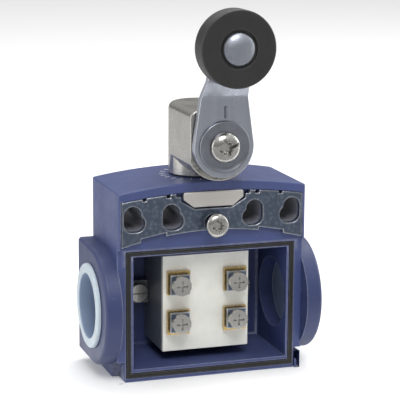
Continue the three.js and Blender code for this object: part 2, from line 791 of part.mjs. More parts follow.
function contactBlockLid() {
  const y = [BLOCK.front - 1.3, BLOCK.front - 0.1];
  const through = [y[0] - 1, y[1] + 1];
  let lid = box([-BLOCK.halfWidth, BLOCK.halfWidth], y, [BLOCK.low, BLOCK.high]);
  for (const side of [-1, 1]) {
    for (const { armZ, screwZ } of Object.values(CONTACTS)) {
      lid = lid
        .subtract(box(ordered(5 * side, 9.6 * side), through, [armZ - 0.6, armZ + 0.6]))
        .subtract(rodY(TERMINAL_HOLE, through, TERMINAL_X * side, screwZ, COARSE));
    }
  }
  return lid;
}

function contactBlockScrew() {
  return turnedY([[0, 7.7], [2.4, 7.7], [2.4, 9.4], [1.3, 9.4], [1.3, 13.7], [0, 13.7]], COARSE).subtract(
    box([-2.6, 2.6], [7, 8.4], [-0.3, 0.3]),
  );
}

function fixedContact({ armZ, screwZ, padLow, padHigh }) {
  return box([4.6, 10.6], [-5.6, -4.6], [padLow, padHigh])
    .add(box([5.3, 9.3], [-5, 3.2], [armZ - 0.4, armZ + 0.4]))
    .subtract(rodY(TERMINAL_HOLE, [-6, -4], TERMINAL_X, screwZ, COARSE));
}

function terminalClamp() {
  return box([-2.6, 2.6], [-6.9, -6], [-2.6, 2.6]).subtract(rodY(TERMINAL_HOLE, [-8, -5], 0, 0, COARSE));
}

function terminalScrew() {
  return turnedY([[0, -8.6], [2.5, -8.6], [2.5, -7.1], [1.3, -7.1], [1.3, -1.5], [0, -1.5]], COARSE).subtract(
    crossRecess(1.5, 0.6, [-9, -7.9], 0),
  );
}

function contactCarrier() {
  const { halfWidth, halfDepth, low, high, windowHalfDepth, stemRadius, stemTop } = CARRIER;
  let carrier = box([-halfWidth, halfWidth], [CARRIER_Y - halfDepth, CARRIER_Y + halfDepth], [low, high])
    .add(rodZ(stemRadius, [high - 1, stemTop], 0, CARRIER_Y, COARSE));
  for (const z of CARRIER_WINDOWS) {
    const y = [CARRIER_Y - windowHalfDepth, CARRIER_Y + windowHalfDepth];
    carrier = carrier.subtract(box([-halfWidth - 1, halfWidth + 1], y, z));
  }
  return carrier;
}

function contactBridge({ bridgeZ, tip }) {
  const { halfLength, halfDepth, halfThickness, tipX, tipRadius, tipHeight } = BRIDGE;
  const z = [bridgeZ - halfThickness, bridgeZ + halfThickness];
  let bridge = box([-halfLength, halfLength], [CARRIER_Y - halfDepth, CARRIER_Y + halfDepth], z);
  for (const x of [-tipX, tipX]) {
    bridge = bridge.add(rodZ(tipRadius, ordered(bridgeZ, bridgeZ + tipHeight * tip), x, CARRIER_Y, COARSE));
  }
  return bridge;
}

// ---- materials ----

const finishes = {
  bluePlastic: [0x3f5596, 0.5, 0],
  zincPlate: [0x8d979f, 0.35, 0.9],
  brightSteel: [0xc4c2bb, 0.25, 1],
  castZinc: [0xa7a49c, 0.4, 0.9],
  satinSteel: [0x99a0a6, 0.32, 0.9],
  blackPlastic: [0x2c2c2b, 0.55, 0],
  palePlastic: [0xc4d0d9, 0.4, 0],
  greyPlastic: [0x6f7780, 0.6, 0],
  whitePlastic: [0xe4e4df, 0.5, 0],
  brass: [0xb9954c, 0.35, 1],
  springSteel: [0x8a8c8e, 0.3, 1],
  rubber: [0x191a1b, 0.8, 0],
};

function named(name, manifold, finish) {
  const [color, roughness, metalness] = finishes[finish];
  const mesh = new THREE.Mesh(
    geometryOf(manifold),
    new THREE.MeshStandardMaterial({ color, roughness, metalness }),
  );
  mesh.name = name;
  return mesh;
}

// ---- assembly ----

function baseGroup() {
  const group = new THREE.Group();
  const rightPlug = named("cable_entry_plug_right", cableEntryPlug(), "palePlastic");
  rightPlug.position.set(0, ENTRY.boreY, ENTRY.z);
  const leftPlug = named("cable_entry_plug_left", cableEntryPlug(), "palePlastic");
  leftPlug.position.copy(rightPlug.position);
  leftPlug.rotation.z = Math.PI;
  group.add(
    named("housing", housing(), "bluePlastic"),
    named("cover_gasket", coverGasket(), "rubber"),
    named("fixing_plate", fixingPlate(), "zincPlate"),
    named("head_lock_bracket", headLockBracket(), "brightSteel"),
    leftPlug,
    rightPlug,
  );
  return group;
}

function coverGroup() {
  const group = new THREE.Group();
  group.add(
    named("front_cover", frontCover(), "bluePlastic"),
    named("cover_screw", coverScrew(), "brightSteel"),
  );
  return group;
}

function contactGroup() {
  const group = new THREE.Group();
  group.add(
    named("contact_block_case", contactBlockCase(), "greyPlastic"),
    named("contact_block_lid", contactBlockLid(), "whitePlastic"),
    named("contact_carrier", contactCarrier(), "whitePlastic"),
    named("carrier_return_spring", coil(CARRIER_SPRING, CARRIER_SPRING.z, CARRIER_Y), "springSteel"),
  );
  for (const [side, sign] of [["left", -1], ["right", 1]]) {
    const blockScrew = named(`contact_block_screw_${side}`, contactBlockScrew(), "brightSteel");
    blockScrew.position.set(BLOCK.earX * sign, 0, BLOCK.earZ);
    group.add(blockScrew);
  }
  for (const [kind, contact] of Object.entries(CONTACTS)) {
    const spring = coil(BRIDGE_SPRING, [contact.springLow, contact.springHigh], CARRIER_Y);
    group.add(
      named(`contact_bridge_${kind}`, contactBridge(contact), "brass"),
      named(`bridge_spring_${kind}`, spring, "springSteel"),
    );
    for (const [side, sign] of [["left", -1], ["right", 1]]) {
      const shape = fixedContact(contact);
      const handed = sign > 0 ? shape : shape.mirror([1, 0, 0]);
      const fixed = named(`fixed_contact_${kind}_${side}`, handed, "brass");
      const clamp = named(`terminal_clamp_${kind}_${side}`, terminalClamp(), "zincPlate");
      const screw = named(`terminal_screw_${kind}_${side}`, terminalScrew(), "brightSteel");
      clamp.position.set(TERMINAL_X * sign, 0, contact.screwZ);
      screw.position.copy(clamp.position);
      group.add(fixed, clamp, screw);
    }
  }
  return group;
}

function headGroup() {
  const group = new THREE.Group();
  group.add(
    named("head_body", headBody(), "castZinc"),
    named("head_seal_ring", headSealRing(), "rubber"),
    named("head_plunger", headPlunger(), "brightSteel"),
    named("plunger_cap", plungerCap(), "whitePlastic"),
    named("plunger_return_spring", coil(PLUNGER_SPRING, PLUNGER_SPRING.z, HEAD_AXIS_Y), "springSteel"),
  );
  return group;
}

function leverGroup() {
  const group = new THREE.Group();
  group.position.z = PIVOT_Z;
  const rollerParts = new THREE.Group();
  rollerParts.position.z = ARM_LENGTH;
  rollerParts.add(
    named("roller", roller(), "blackPlastic"),
    named("roller_rivet", rollerRivet(), "brightSteel"),
    named("roller_spacer", rollerSpacer(), "satinSteel"),
  );
  group.add(
    named("shaft_bush", shaftBush(), "brass"),
    named("shaft_seal", shaftSeal(), "rubber"),
    named("lever_shaft", leverShaft(), "satinSteel"),
    named("shaft_circlip", shaftCirclip(), "springSteel"),
    named("cam", cam(), "whitePlastic"),
    named("drive_disc", driveDisc(), "castZinc"),
    named("roller_lever", rollerLever(), "satinSteel"),
    named("lever_washer", leverWasher(), "satinSteel"),
    named("lever_clamp_screw", leverClampScrew(), "brightSteel"),
    rollerParts,
  );
  return group;
}

const limitSwitch = new THREE.Group();
limitSwitch.add(baseGroup(), coverGroup(), contactGroup(), headGroup(), leverGroup());

export default limitSwitch;
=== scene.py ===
"""Limit switch: plastic housing with a hinged cover, rotary head and roller lever."""

import json
import math

import bpy
from bpy.props import FloatProperty, FloatVectorProperty, IntProperty, PointerProperty
from mathutils import Matrix, Vector


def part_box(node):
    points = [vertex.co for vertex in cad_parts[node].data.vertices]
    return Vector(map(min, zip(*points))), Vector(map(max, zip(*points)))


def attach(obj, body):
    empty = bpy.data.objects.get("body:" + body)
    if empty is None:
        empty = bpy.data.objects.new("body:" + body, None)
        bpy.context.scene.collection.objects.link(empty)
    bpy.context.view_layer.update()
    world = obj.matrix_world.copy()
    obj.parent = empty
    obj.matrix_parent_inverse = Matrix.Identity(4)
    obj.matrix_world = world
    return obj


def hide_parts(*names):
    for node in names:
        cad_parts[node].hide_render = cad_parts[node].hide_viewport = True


bl_info = {
    "name": "Limit Switch",
    "version": (1, 0, 0),
    "blender": (4, 5, 0),
    "location": "View3D > Sidebar > Limit Switch",
    "description": "Builds a roller lever limit switch around its packed frame",
    "category": "Add Mesh",
}

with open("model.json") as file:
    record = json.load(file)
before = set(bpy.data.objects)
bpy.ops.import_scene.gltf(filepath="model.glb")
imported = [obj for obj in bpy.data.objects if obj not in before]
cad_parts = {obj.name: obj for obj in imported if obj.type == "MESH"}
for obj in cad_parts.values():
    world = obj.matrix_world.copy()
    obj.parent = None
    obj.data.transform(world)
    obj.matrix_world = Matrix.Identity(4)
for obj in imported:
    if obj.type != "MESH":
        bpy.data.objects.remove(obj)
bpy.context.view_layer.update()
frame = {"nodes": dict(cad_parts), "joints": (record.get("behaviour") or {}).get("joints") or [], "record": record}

MM = 0.001
TURN = 2 * math.pi
X_AXIS, Y_AXIS, Z_AXIS = (1, 0, 0), (0, 1, 0), (0, 0, 1)


def joint_place(name):
    """The point that a joint of the frame turns about, in millimetres."""
    return Vector(next(j for j in frame["joints"] if j["name"] == name)["pos_m"]) / MM


def corners(node):
    """The lowest and highest corner of a CAD node, in millimetres."""
    low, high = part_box(node)
    return low / MM, high / MM


PIVOT_Z = joint_place("lever_swing").z
ROLLER_Z = joint_place("roller_spin").z
HEAD_Y = joint_place("head_turn").y
COVER_PIVOT = joint_place("cover_open")
HOUSING_HIGH = corners("housing")[1]
COVER_LOW, COVER_HIGH = corners("front_cover")
PLATE_LOW, PLATE_HIGH = corners("fixing_plate")
HEAD_LOW, HEAD_HIGH = corners("head_body")
LEVER_HIGH = corners("roller_lever")[1]
ROLLER_LOW, ROLLER_HIGH = corners("roller")
RIVET_LOW, RIVET_HIGH = corners("roller_rivet")

# The faces that several pieces share, in millimetres.
BODY_SIDE = 24.7
BODY_FRONT = -10.0
BODY_REAR = HOUSING_HIGH.y
SEAM_Y = -8.5
SCREW_Z = 40.2
ENTRY_Y, ENTRY_Z = 2.0, 18.0
SLOT_X = (11, 21)

# Shapes that repeat, in millimetres.
SHOULDER_Z = 48.8
ENTRY_BORE = 9.3
SCREW_HOLE = 1.9
FORK_THROAT = 5.35
THROUGH_PLATE = (-11, -8)
PLATE_NOTCHES = ((11.2, 12.2, 47.2), (17.5, 18.4, 46.7))

# The plate's foot and top fall by the distance from its middle, squared, over these.
FOOT_FALL, TOP_FALL = 170.6, 300

# Turns, in radians, that round a small edge of a plug.
EDGE_TURNS = (0.4, 0.8, 1.2, math.pi / 2)


# ---------------------------------------------------------------- modelling helpers


def deselect_all():
    if bpy.context.object and bpy.context.object.mode != "OBJECT":
        bpy.ops.object.mode_set(mode="OBJECT")
    bpy.ops.object.select_all(action="DESELECT")


def only(piece):
    """Selects one piece and makes it active."""
    deselect_all()
    piece.select_set(True)
    bpy.context.view_layer.objects.active = piece
    return piece


def draw_outline(name, points):
    """Starts a piece as one vertex and extrudes it through points given in millimetres."""
    deselect_all()
    places = [Vector(p) * MM for p in points]
    bpy.ops.mesh.primitive_plane_add(size=MM)
    piece = bpy.context.object
    piece.name = name
    bpy.ops.object.mode_set(mode="EDIT")
    bpy.ops.mesh.select_all(action="SELECT")
    bpy.ops.mesh.merge(type="CENTER")
    bpy.ops.transform.translate(value=places[0])
    for here, there in zip(places, places[1:]):
        bpy.ops.mesh.extrude_region_move(TRANSFORM_OT_translate={"value": there - here})
    return piece


def close_skin():
    """Merges doubles, turns all faces outwards and leaves edit mode."""
    bpy.ops.mesh.select_all(action="SELECT")
    bpy.ops.mesh.remove_doubles(threshold=MM * 0.002)
    bpy.ops.mesh.normals_make_consistent(inside=False)
    bpy.ops.object.mode_set(mode="OBJECT")


def drawn_slab(name, points, sweep):
    """A flat outline filled and extruded by a vector in millimetres."""
    piece = draw_outline(name, [*points, points[0]])
    bpy.ops.mesh.select_all(action="SELECT")
    bpy.ops.mesh.remove_doubles(threshold=MM * 0.002)
    bpy.ops.mesh.edge_face_add()
    bpy.ops.mesh.extrude_region_move(TRANSFORM_OT_translate={"value": Vector(sweep) * MM})
    close_skin()
    return piece


def slab_along_y(name, outline, y_from, y_to):
    return drawn_slab(name, [(x, y_from, z) for x, z in outline], (0, y_to - y_from, 0))


def slab_along_x(name, outline, x_from, x_to):
    return drawn_slab(name, [(x_from, y, z) for y, z in outline], (x_to - x_from, 0, 0))


def turned(name, profile, centre, axis, steps=64):
    """Spins (radius, height) pairs in millimetres about an axis; a profile off the axis makes a ring."""
    centre, along = Vector(centre), Vector(axis)
    out = Vector(X_AXIS) if abs(along.z) > 0.5 else Vector(Z_AXIS)
    loop = profile if profile[0][0] == 0 else [*profile, profile[0]]
    points = [centre + out * radius + along * height for radius, height in loop]
    piece = draw_outline(name, points)
    bpy.ops.mesh.select_all(action="SELECT")
    bpy.ops.mesh.remove_doubles(threshold=MM * 0.002)
    bpy.ops.mesh.spin(steps=steps, angle=TURN, center=centre * MM, axis=axis)
    close_skin()
    return piece


def block(name, low, high):
    """A box between two corners in millimetres."""
    deselect_all()
    low, high = Vector(low) * MM, Vector(high) * MM
    bpy.ops.mesh.primitive_cube_add(size=1, location=(low + high) / 2)
    piece = bpy.context.object
    piece.name = name
    piece.scale = high - low
    bpy.ops.object.transform_apply(location=True, rotation=True, scale=True)
    return piece


def rod(name, radius, start, end, steps=64):
    """A round bar between two points in millimetres."""
    deselect_all()
    start, end = Vector(start) * MM, Vector(end) * MM
    along = end - start
    bpy.ops.mesh.primitive_cylinder_add(
        vertices=steps,
        radius=radius * MM,
        depth=along.length,
        location=(start + end) / 2,
        rotation=along.to_track_quat("Z", "Y").to_euler(),
    )
    piece = bpy.context.object
    piece.name = name
    bpy.ops.object.transform_apply(location=True, rotation=True, scale=True)
    return piece


def copied(piece, name):
    """A copy of a piece with its own mesh."""
    only(piece)
    bpy.ops.object.duplicate(linked=False)
    twin = bpy.context.object
    twin.name = name
    return twin


def mirrored_across(piece, name):
    """A copy of a piece on the other side of the YZ plane."""
    twin = copied(piece, name)
    only(twin)
    bpy.ops.object.mode_set(mode="EDIT")
    bpy.ops.mesh.select_all(action="SELECT")
    bpy.ops.transform.resize(value=(-1, 1, 1), center_override=(0, 0, 0))
    close_skin()
    return twin


def rotated(piece, degrees, axis, centre):
    """Turns a piece's mesh about an axis named X, Y or Z through a point."""
    only(piece)
    middle = Vector(centre) * MM
    bpy.ops.object.mode_set(mode="EDIT")
    bpy.ops.mesh.select_all(action="SELECT")
    bpy.ops.transform.rotate(value=math.radians(degrees), orient_axis=axis, center_override=middle)
    bpy.ops.object.mode_set(mode="OBJECT")
    return piece


def shifted(piece, step):
    """Moves a piece's mesh by millimetres."""
    only(piece)
    bpy.ops.object.mode_set(mode="EDIT")
    bpy.ops.mesh.select_all(action="SELECT")
    bpy.ops.transform.translate(value=Vector(step) * MM)
    bpy.ops.object.mode_set(mode="OBJECT")
    return piece


def joined(name, pieces):
    deselect_all()
    for piece in pieces:
        piece.select_set(True)
    bpy.context.view_layer.objects.active = pieces[0]
    bpy.ops.object.join()
    whole = bpy.context.object
    whole.name = name
    return whole


def apply_modifier(piece, modifier):
    only(piece)
    bpy.ops.object.modifier_apply(modifier=modifier.name)


def combine(piece, tool, operation):
    modifier = piece.modifiers.new("combine", "BOOLEAN")
    modifier.object = tool
    modifier.operation = operation
    modifier.solver = "EXACT"
    apply_modifier(piece, modifier)
    bpy.data.objects.remove(tool)
    return piece


def cut(piece, *tools):
    for tool in tools:
        combine(piece, tool, "DIFFERENCE")
    return piece


def weld(piece, *parts):
    for part in parts:
        combine(piece, part, "UNION")
    return piece


def select_where(piece, is_wanted, kind):
    """Selects, in edit mode, the vertices or edges whose places in millimetres pass a test."""
    only(piece)
    bpy.ops.object.mode_set(mode="EDIT")
    bpy.ops.mesh.select_mode(type=kind)
    bpy.ops.mesh.select_all(action="DESELECT")
    bpy.ops.object.mode_set(mode="OBJECT")
    vertices = piece.data.vertices
    passed = [is_wanted(v.co / MM) for v in vertices]
    if kind == "VERT":
        for vertex, wanted in zip(vertices, passed):
            vertex.select = wanted
    else:
        for edge in piece.data.edges:
            edge.select = all(passed[i] for i in edge.vertices)
    bpy.ops.object.mode_set(mode="EDIT")


def leave_edit():
    bpy.ops.mesh.select_mode(type="VERT")
    bpy.ops.object.mode_set(mode="OBJECT")


def round_edges(piece, is_wanted, width, segments=4):
    """Rounds the edges found by their place."""
    select_where(piece, is_wanted, "EDGE")
    bpy.ops.mesh.bevel(offset=width * MM, segments=segments, affect="EDGES", clamp_overlap=True)
    leave_edit()
    return piece


def shade(piece, angle=35):
    only(piece)
    bpy.ops.object.shade_smooth_by_angle(angle=math.radians(angle))
    weighted = piece.modifiers.new("even normals", "WEIGHTED_NORMAL")
    weighted.keep_sharp = True
    apply_modifier(piece, weighted)
    return piece


def soften(piece, width, segments=2, angle=38):
    """Rounds every sharp edge a little and evens out the shading."""
    bevel = piece.modifiers.new("soften", "BEVEL")
    bevel.limit_method = "ANGLE"
    bevel.angle_limit = math.radians(angle)
    bevel.width = width * MM
    bevel.segments = segments
    bevel.use_clamp_overlap = False
    apply_modifier(piece, bevel)
    return shade(piece)


def arc(centre, radius, start, end, steps):
    """Points on an arc in two coordinates, from one angle to another in degrees."""
    angles = [math.radians(start + (end - start) * i / steps) for i in range(steps + 1)]
    return [(centre[0] + radius * math.cos(a), centre[1] + radius * math.sin(a)) for a in angles]


def both_sides(points):
    """Points of a half outline, followed by their mirror image."""
    return [*points, *[(-a, b) for a, b in reversed(points)]]


def curve_through(start, middle, end, steps=8):
    """Points on a quadratic curve."""
    made = []
    for i in range(steps + 1):
        t = i / steps
        weights = ((1 - t) ** 2, 2 * t * (1 - t), t * t)
        made.append(tuple(sum(w * p[k] for w, p in zip(weights, (start, middle, end))) for k in (0, 1)))
    return made


def arch_top(x, half_width, side, crown):
    rise = crown - side
    radius = (half_width**2 + rise**2) / (2 * rise)
    return crown - radius + math.sqrt(radius**2 - x**2)


def arched(half_width, bottom, side, crown, steps=40):
    """A flat-bottomed outline with an arched top."""
    across = [half_width - 2 * half_width * i / steps for i in range(steps + 1)]
    top = [(x, arch_top(x, half_width, side, crown)) for x in across]
    return [(-half_width, bottom), (half_width, bottom), *top]


def peanut(x, radius=2.2):
    """Outline of a fixing slot: two round holes that run together, with a straight outer flank."""
    side = math.copysign(1, x)
    high, low, step = 43.3, 41.2, 1.0
    lean = math.degrees(math.atan2(step, high - low))
    meet = math.degrees(math.acos(math.hypot(step, high - low) / 2 / radius))
    upper = arc((abs(x), high), radius, 0, 270 - lean - meet, 24)
    inner = arc((abs(x) - step, low), radius, 90 - lean + meet, 270, 20)
    corner = arc((abs(x), low), radius, 270, 360, 12)
    return [(a * side, b) for a, b in upper + inner[1:] + corner]


def finish_named(name):
    """The procedural material of that name, not the plain one that came with the frame."""
    return bpy.data.materials[f"{name}_finish"]


def finish(piece, body, slot, material, *nodes):
    """Gives a piece its material and body, and hides the CAD nodes that it stands for; the slot argument is not
    used.
    """
    piece.data.materials.clear()
    piece.data.materials.append(finish_named(material))
    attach(piece, body)
    if nodes:
        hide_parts(*nodes)
    return piece


# ---------------------------------------------------------------- shader groups


def new_group(name, inputs, outputs):
    """A shader node group with named inputs and outputs, and its two end nodes."""
    tree = bpy.data.node_groups.new(name, "ShaderNodeTree")
    for label, kind, value in inputs:
        tree.interface.new_socket(label, in_out="INPUT", socket_type=kind).default_value = value
    for label in outputs:
        tree.interface.new_socket(label, in_out="OUTPUT", socket_type="NodeSocketFloat")
    return tree, tree.nodes.new("NodeGroupInput").outputs, tree.nodes.new("NodeGroupOutput").inputs


def feed(tree, socket, value):
    """Sets a socket to a number, or links it to an output."""
    if isinstance(value, (int, float, tuple)):
        socket.default_value = value
    else:
        tree.links.new(value, socket)


def maths(tree, operation, *values):
    node = tree.nodes.new("ShaderNodeMath")
    node.operation = operation
    for socket, value in zip(node.inputs, values):
        feed(tree, socket, value)
    return node.outputs[0]


def vector_maths(tree, operation, *values):
    node = tree.nodes.new("ShaderNodeVectorMath")
    node.operation = operation
    for socket, value in zip(node.inputs, values):
        feed(tree, socket, value)
    return node.outputs["Value" if operation in ("DOT_PRODUCT", "LENGTH") else "Vector"]


def spread(tree, value, low, high, to_low=0.0, to_high=1.0):
    """Maps a value from one range to another, clamped."""
    node = tree.nodes.new("ShaderNodeMapRange")
    feed(tree, node.inputs["Value"], value)
    for label, number in zip(("From Min", "From Max", "To Min", "To Max"), (low, high, to_low, to_high)):
        feed(tree, node.inputs[label], number)
    return node.outputs[0]


def noise(tree, vector, scale, detail=3.0, roughness=0.5):
    node = tree.nodes.new("ShaderNodeTexNoise")
    for label, value in (("Vector", vector), ("Scale", scale), ("Detail", detail), ("Roughness", roughness)):
        feed(tree, node.inputs[label], value)
    return node.outputs["Fac"]


def object_place(tree):
    return tree.nodes.new("ShaderNodeTexCoord").outputs["Object"]


def make_worn_highlighted_edges():
    """Mask of the rounded edges, broken up by a fine noise: worn edges that also carry a painted highlight."""
    tree, given, made = new_group(
        "Worn and highlighted edges",
        [("Width", "NodeSocketFloat", 0.0004), ("Breakup", "NodeSocketFloat", 0.4)],
        ["Mask"],
    )
    bevel = tree.nodes.new("ShaderNodeBevel")
    bevel.samples = 6
    tree.links.new(given["Width"], bevel.inputs["Radius"])
    facing = tree.nodes.new("ShaderNodeNewGeometry").outputs["True Normal"]
    edge = spread(tree, vector_maths(tree, "DOT_PRODUCT", bevel.outputs[0], facing), 0.995, 0.88)
    broken = spread(tree, noise(tree, object_place(tree), 900.0), 0.35, 0.65)
    kept = maths(tree, "SUBTRACT", 1.0, maths(tree, "MULTIPLY", given["Breakup"], broken))
    tree.links.new(maths(tree, "MULTIPLY", edge, kept), made["Mask"])
    return tree


def make_moulded_grain():
    """Fine texture of a mould, and a slow mottling of its sheen."""
    tree, given, made = new_group(
        "Moulded grain",
        [("Scale", "NodeSocketFloat", 5000.0), ("Mottle scale", "NodeSocketFloat", 130.0)],
        ["Height", "Mottle"],
    )
    where = object_place(tree)
    tree.links.new(noise(tree, where, given["Scale"], 4.0, 0.6), made["Height"])
    slow = noise(tree, where, given["Mottle scale"], 4.0, 0.6)
    tree.links.new(spread(tree, slow, 0.3, 0.7), made["Mottle"])
    return tree


def make_drawn_lines():
    """Long fine streaks of rolled, brushed or turned metal, squeezed across one axis."""
    tree, given, made = new_group(
        "Drawn lines",
        [("Stretch", "NodeSocketVector", (1.0, 1.0, 0.03)), ("Scale", "NodeSocketFloat", 3500.0)],
        ["Height", "Streak"],
    )
    squeezed = vector_maths(tree, "MULTIPLY", object_place(tree), given["Stretch"])
    tree.links.new(noise(tree, squeezed, given["Scale"], 3.0, 0.6), made["Height"])
    broad = noise(tree, squeezed, maths(tree, "MULTIPLY", given["Scale"], 0.12))
    tree.links.new(spread(tree, broad, 0.35, 0.65), made["Streak"])
    return tree


def make_dusting_and_sheen():
    """Thin patchy dusting on the faces that look up, which also paints the grey sheen that light leaves on them.
    """
    tree, given, made = new_group("Dusting and sheen", [("Amount", "NodeSocketFloat", 0.3)], ["Mask"])
    split = tree.nodes.new("ShaderNodeSeparateXYZ")
    tree.links.new(tree.nodes.new("ShaderNodeNewGeometry").outputs["Normal"], split.inputs[0])
    upward = spread(tree, split.outputs["Z"], 0.55, 1.0)
    patchy = spread(tree, noise(tree, object_place(tree), 260.0, 5.0, 0.65), 0.25, 0.75, 0.5, 1.0)
    amount = maths(tree, "MULTIPLY", given["Amount"], patchy)
    tree.links.new(maths(tree, "MULTIPLY", upward, amount), made["Mask"])
    return tree


def make_handling_marks():
    """Sparse fine scratches and specks left by handling."""
    scale = ("Scale", "NodeSocketFloat", 260.0)
    tree, given, made = new_group("Handling marks", [scale], ["Scratches", "Specks"])
    where = object_place(tree)
    warp = tree.nodes.new("ShaderNodeTexNoise")
    feed(tree, warp.inputs["Vector"], where)
    feed(tree, warp.inputs["Scale"], 120.0)
    drift = vector_maths(tree, "MULTIPLY", warp.outputs["Color"], (0.004,) * 3)
    wandering = vector_maths(tree, "ADD", where, drift)
    cells = tree.nodes.new("ShaderNodeTexVoronoi")
    cells.feature = "DISTANCE_TO_EDGE"
    feed(tree, cells.inputs["Vector"], wandering)
    feed(tree, cells.inputs["Scale"], given["Scale"])
    line = spread(tree, cells.outputs["Distance"], 0.0, 0.035, 1.0, 0.0)
    part = spread(tree, noise(tree, where, 190.0), 0.56, 0.66)
    tree.links.new(maths(tree, "MULTIPLY", line, part), made["Scratches"])
    dots = tree.nodes.new("ShaderNodeTexVoronoi")
    feed(tree, dots.inputs["Vector"], where)
    feed(tree, dots.inputs["Scale"], maths(tree, "MULTIPLY", given["Scale"], 3.0))
    speck = spread(tree, dots.outputs["Distance"], 0.06, 0.16, 1.0, 0.0)
    clusters = spread(tree, noise(tree, where, 420.0), 0.55, 0.65)
    tree.links.new(maths(tree, "MULTIPLY", speck, clusters), made["Specks"])
    return tree


GROUP_MAKERS = {
    "wear": make_worn_highlighted_edges,
    "grain": make_moulded_grain,
    "lines": make_drawn_lines,
    "dust": make_dusting_and_sheen,
    "marks": make_handling_marks,
}


class Finish:
    """A material under construction: its nodes, and its base colour and surface so far."""

    groups = {}

    def __init__(self, name, colour, roughness, metallic=0.0):
        self.material = bpy.data.materials.new(f"{name}_finish")
        self.material.use_nodes = True
        self.tree = self.material.node_tree
        self.shader = self.tree.nodes["Principled BSDF"]
        self.colour = (*colour, 1.0)
        self.surface = None
        for label, value in (("Base Color", self.colour), ("Roughness", roughness), ("Metallic", metallic)):
            self.shader.inputs[label].default_value = value

    def group(self, key, **values):
        """Places a shared effect with this material's own values."""
        node = self.tree.nodes.new("ShaderNodeGroup")
        node.node_tree = self.groups[key]
        for label, value in values.items():
            node.inputs[label.replace("_", " ")].default_value = value
        return node.outputs

    def tint(self, mask, colour, strength=1.0):
        """Mixes another colour in where the mask is high."""
        mix = self.tree.nodes.new("ShaderNodeMix")
        mix.data_type = "RGBA"
        feed(self.tree, mix.inputs[0], maths(self.tree, "MULTIPLY", mask, strength))
        feed(self.tree, mix.inputs[6], self.colour)
        feed(self.tree, mix.inputs[7], (*colour, 1.0))
        self.colour = mix.outputs[2]
        self.tree.links.new(self.colour, self.shader.inputs["Base Color"])
        return self

    def roughen(self, mask, low, high):
        self.tree.links.new(spread(self.tree, mask, 0.0, 1.0, low, high), self.shader.inputs["Roughness"])
        return self

    def bump(self, height, depth, strength=1.0):
        """Raises the surface by a height map, whose full depth is in millimetres."""
        node = self.tree.nodes.new("ShaderNodeBump")
        node.inputs["Strength"].default_value = strength
        node.inputs["Distance"].default_value = depth * MM
        self.tree.links.new(height, node.inputs["Height"])
        if self.surface:
            self.tree.links.new(self.surface, node.inputs["Normal"])
        self.surface = node.outputs["Normal"]
        self.tree.links.new(self.surface, self.shader.inputs["Normal"])
        return self

    def constant(self, label, value):
        self.shader.inputs[label].default_value = value
        return self


def lighter(colour, amount):
    return tuple(c + (1 - c) * amount for c in colour)


def darker(colour, amount):
    return tuple(c * (1 - amount) for c in colour)


def moulded_blue(name, colour):
    """Glass-filled plastic with a satin skin, pale edges that are worn and carry a painted highlight, and a thin
    dusting on top that also paints a sheen.
    """
    made = Finish(name, colour, 0.45)
    grain = made.group("grain", Scale=4200.0, Mottle_scale=110.0)
    made.tint(grain["Mottle"], darker(colour, 0.22), 0.6)
    made.tint(made.group("marks", Scale=190.0)["Specks"], lighter(colour, 0.2), 0.2)
    made.tint(made.group("wear", Width=0.0005, Breakup=0.45)["Mask"], lighter(colour, 0.22), 0.7)
    # Dusting on the upward faces, which also paints a grey sheen on the top.
    made.tint(made.group("dust", Amount=0.12)["Mask"], (0.22, 0.24, 0.34))
    made.roughen(grain["Mottle"], 0.36, 0.50)
    made.bump(grain["Height"], 0.03, 0.5)
    made.constant("Specular IOR Level", 0.45)
    return made


def strip_mask(tree, low, high):
    """1 inside a box of object coordinates given in millimetres."""
    split = tree.nodes.new("ShaderNodeSeparateXYZ")
    tree.links.new(object_place(tree), split.inputs[0])
    mask = None
    for output, a, b in zip(split.outputs, low, high):
        middle, half = (a + b) / 2 * MM, (b - a) / 2 * MM
        away = maths(tree, "ABSOLUTE", maths(tree, "SUBTRACT", output, middle))
        inside = spread(tree, away, half - 0.04 * MM, half + 0.04 * MM, 1.0, 0.0)
        mask = inside if mask is None else maths(tree, "MULTIPLY", mask, inside)
    return mask


def ring_mask(tree, centre, axis_off, low, high, fade=0.08):
    """1 between two distances from an axis, in millimetres; axis_off leaves the axis's own coordinate out."""
    offset = vector_maths(tree, "SUBTRACT", object_place(tree), tuple(c * MM for c in centre))
    distance = vector_maths(tree, "LENGTH", vector_maths(tree, "MULTIPLY", offset, axis_off))
    middle, half = (low + high) / 2 * MM, (high - low) / 2 * MM
    away = maths(tree, "ABSOLUTE", maths(tree, "SUBTRACT", distance, middle))
    return spread(tree, away, half - fade * MM, half + fade * MM, 1.0, 0.0)


def housing_blue(name, colour):
    """The housing's plastic, painted a paler grey inside the fixing slots: painted light that lifts the shade
    there.
    """
    made = moulded_blue(name, colour)
    # Painted light: a paler grey inside the fixing slots, lifting the shade that falls in them.
    made.tint(strip_mask(made.tree, (-24, -8.3, 38.6), (24, 14.7, 46.4)), (0.26, 0.265, 0.30), 0.95)
    return made


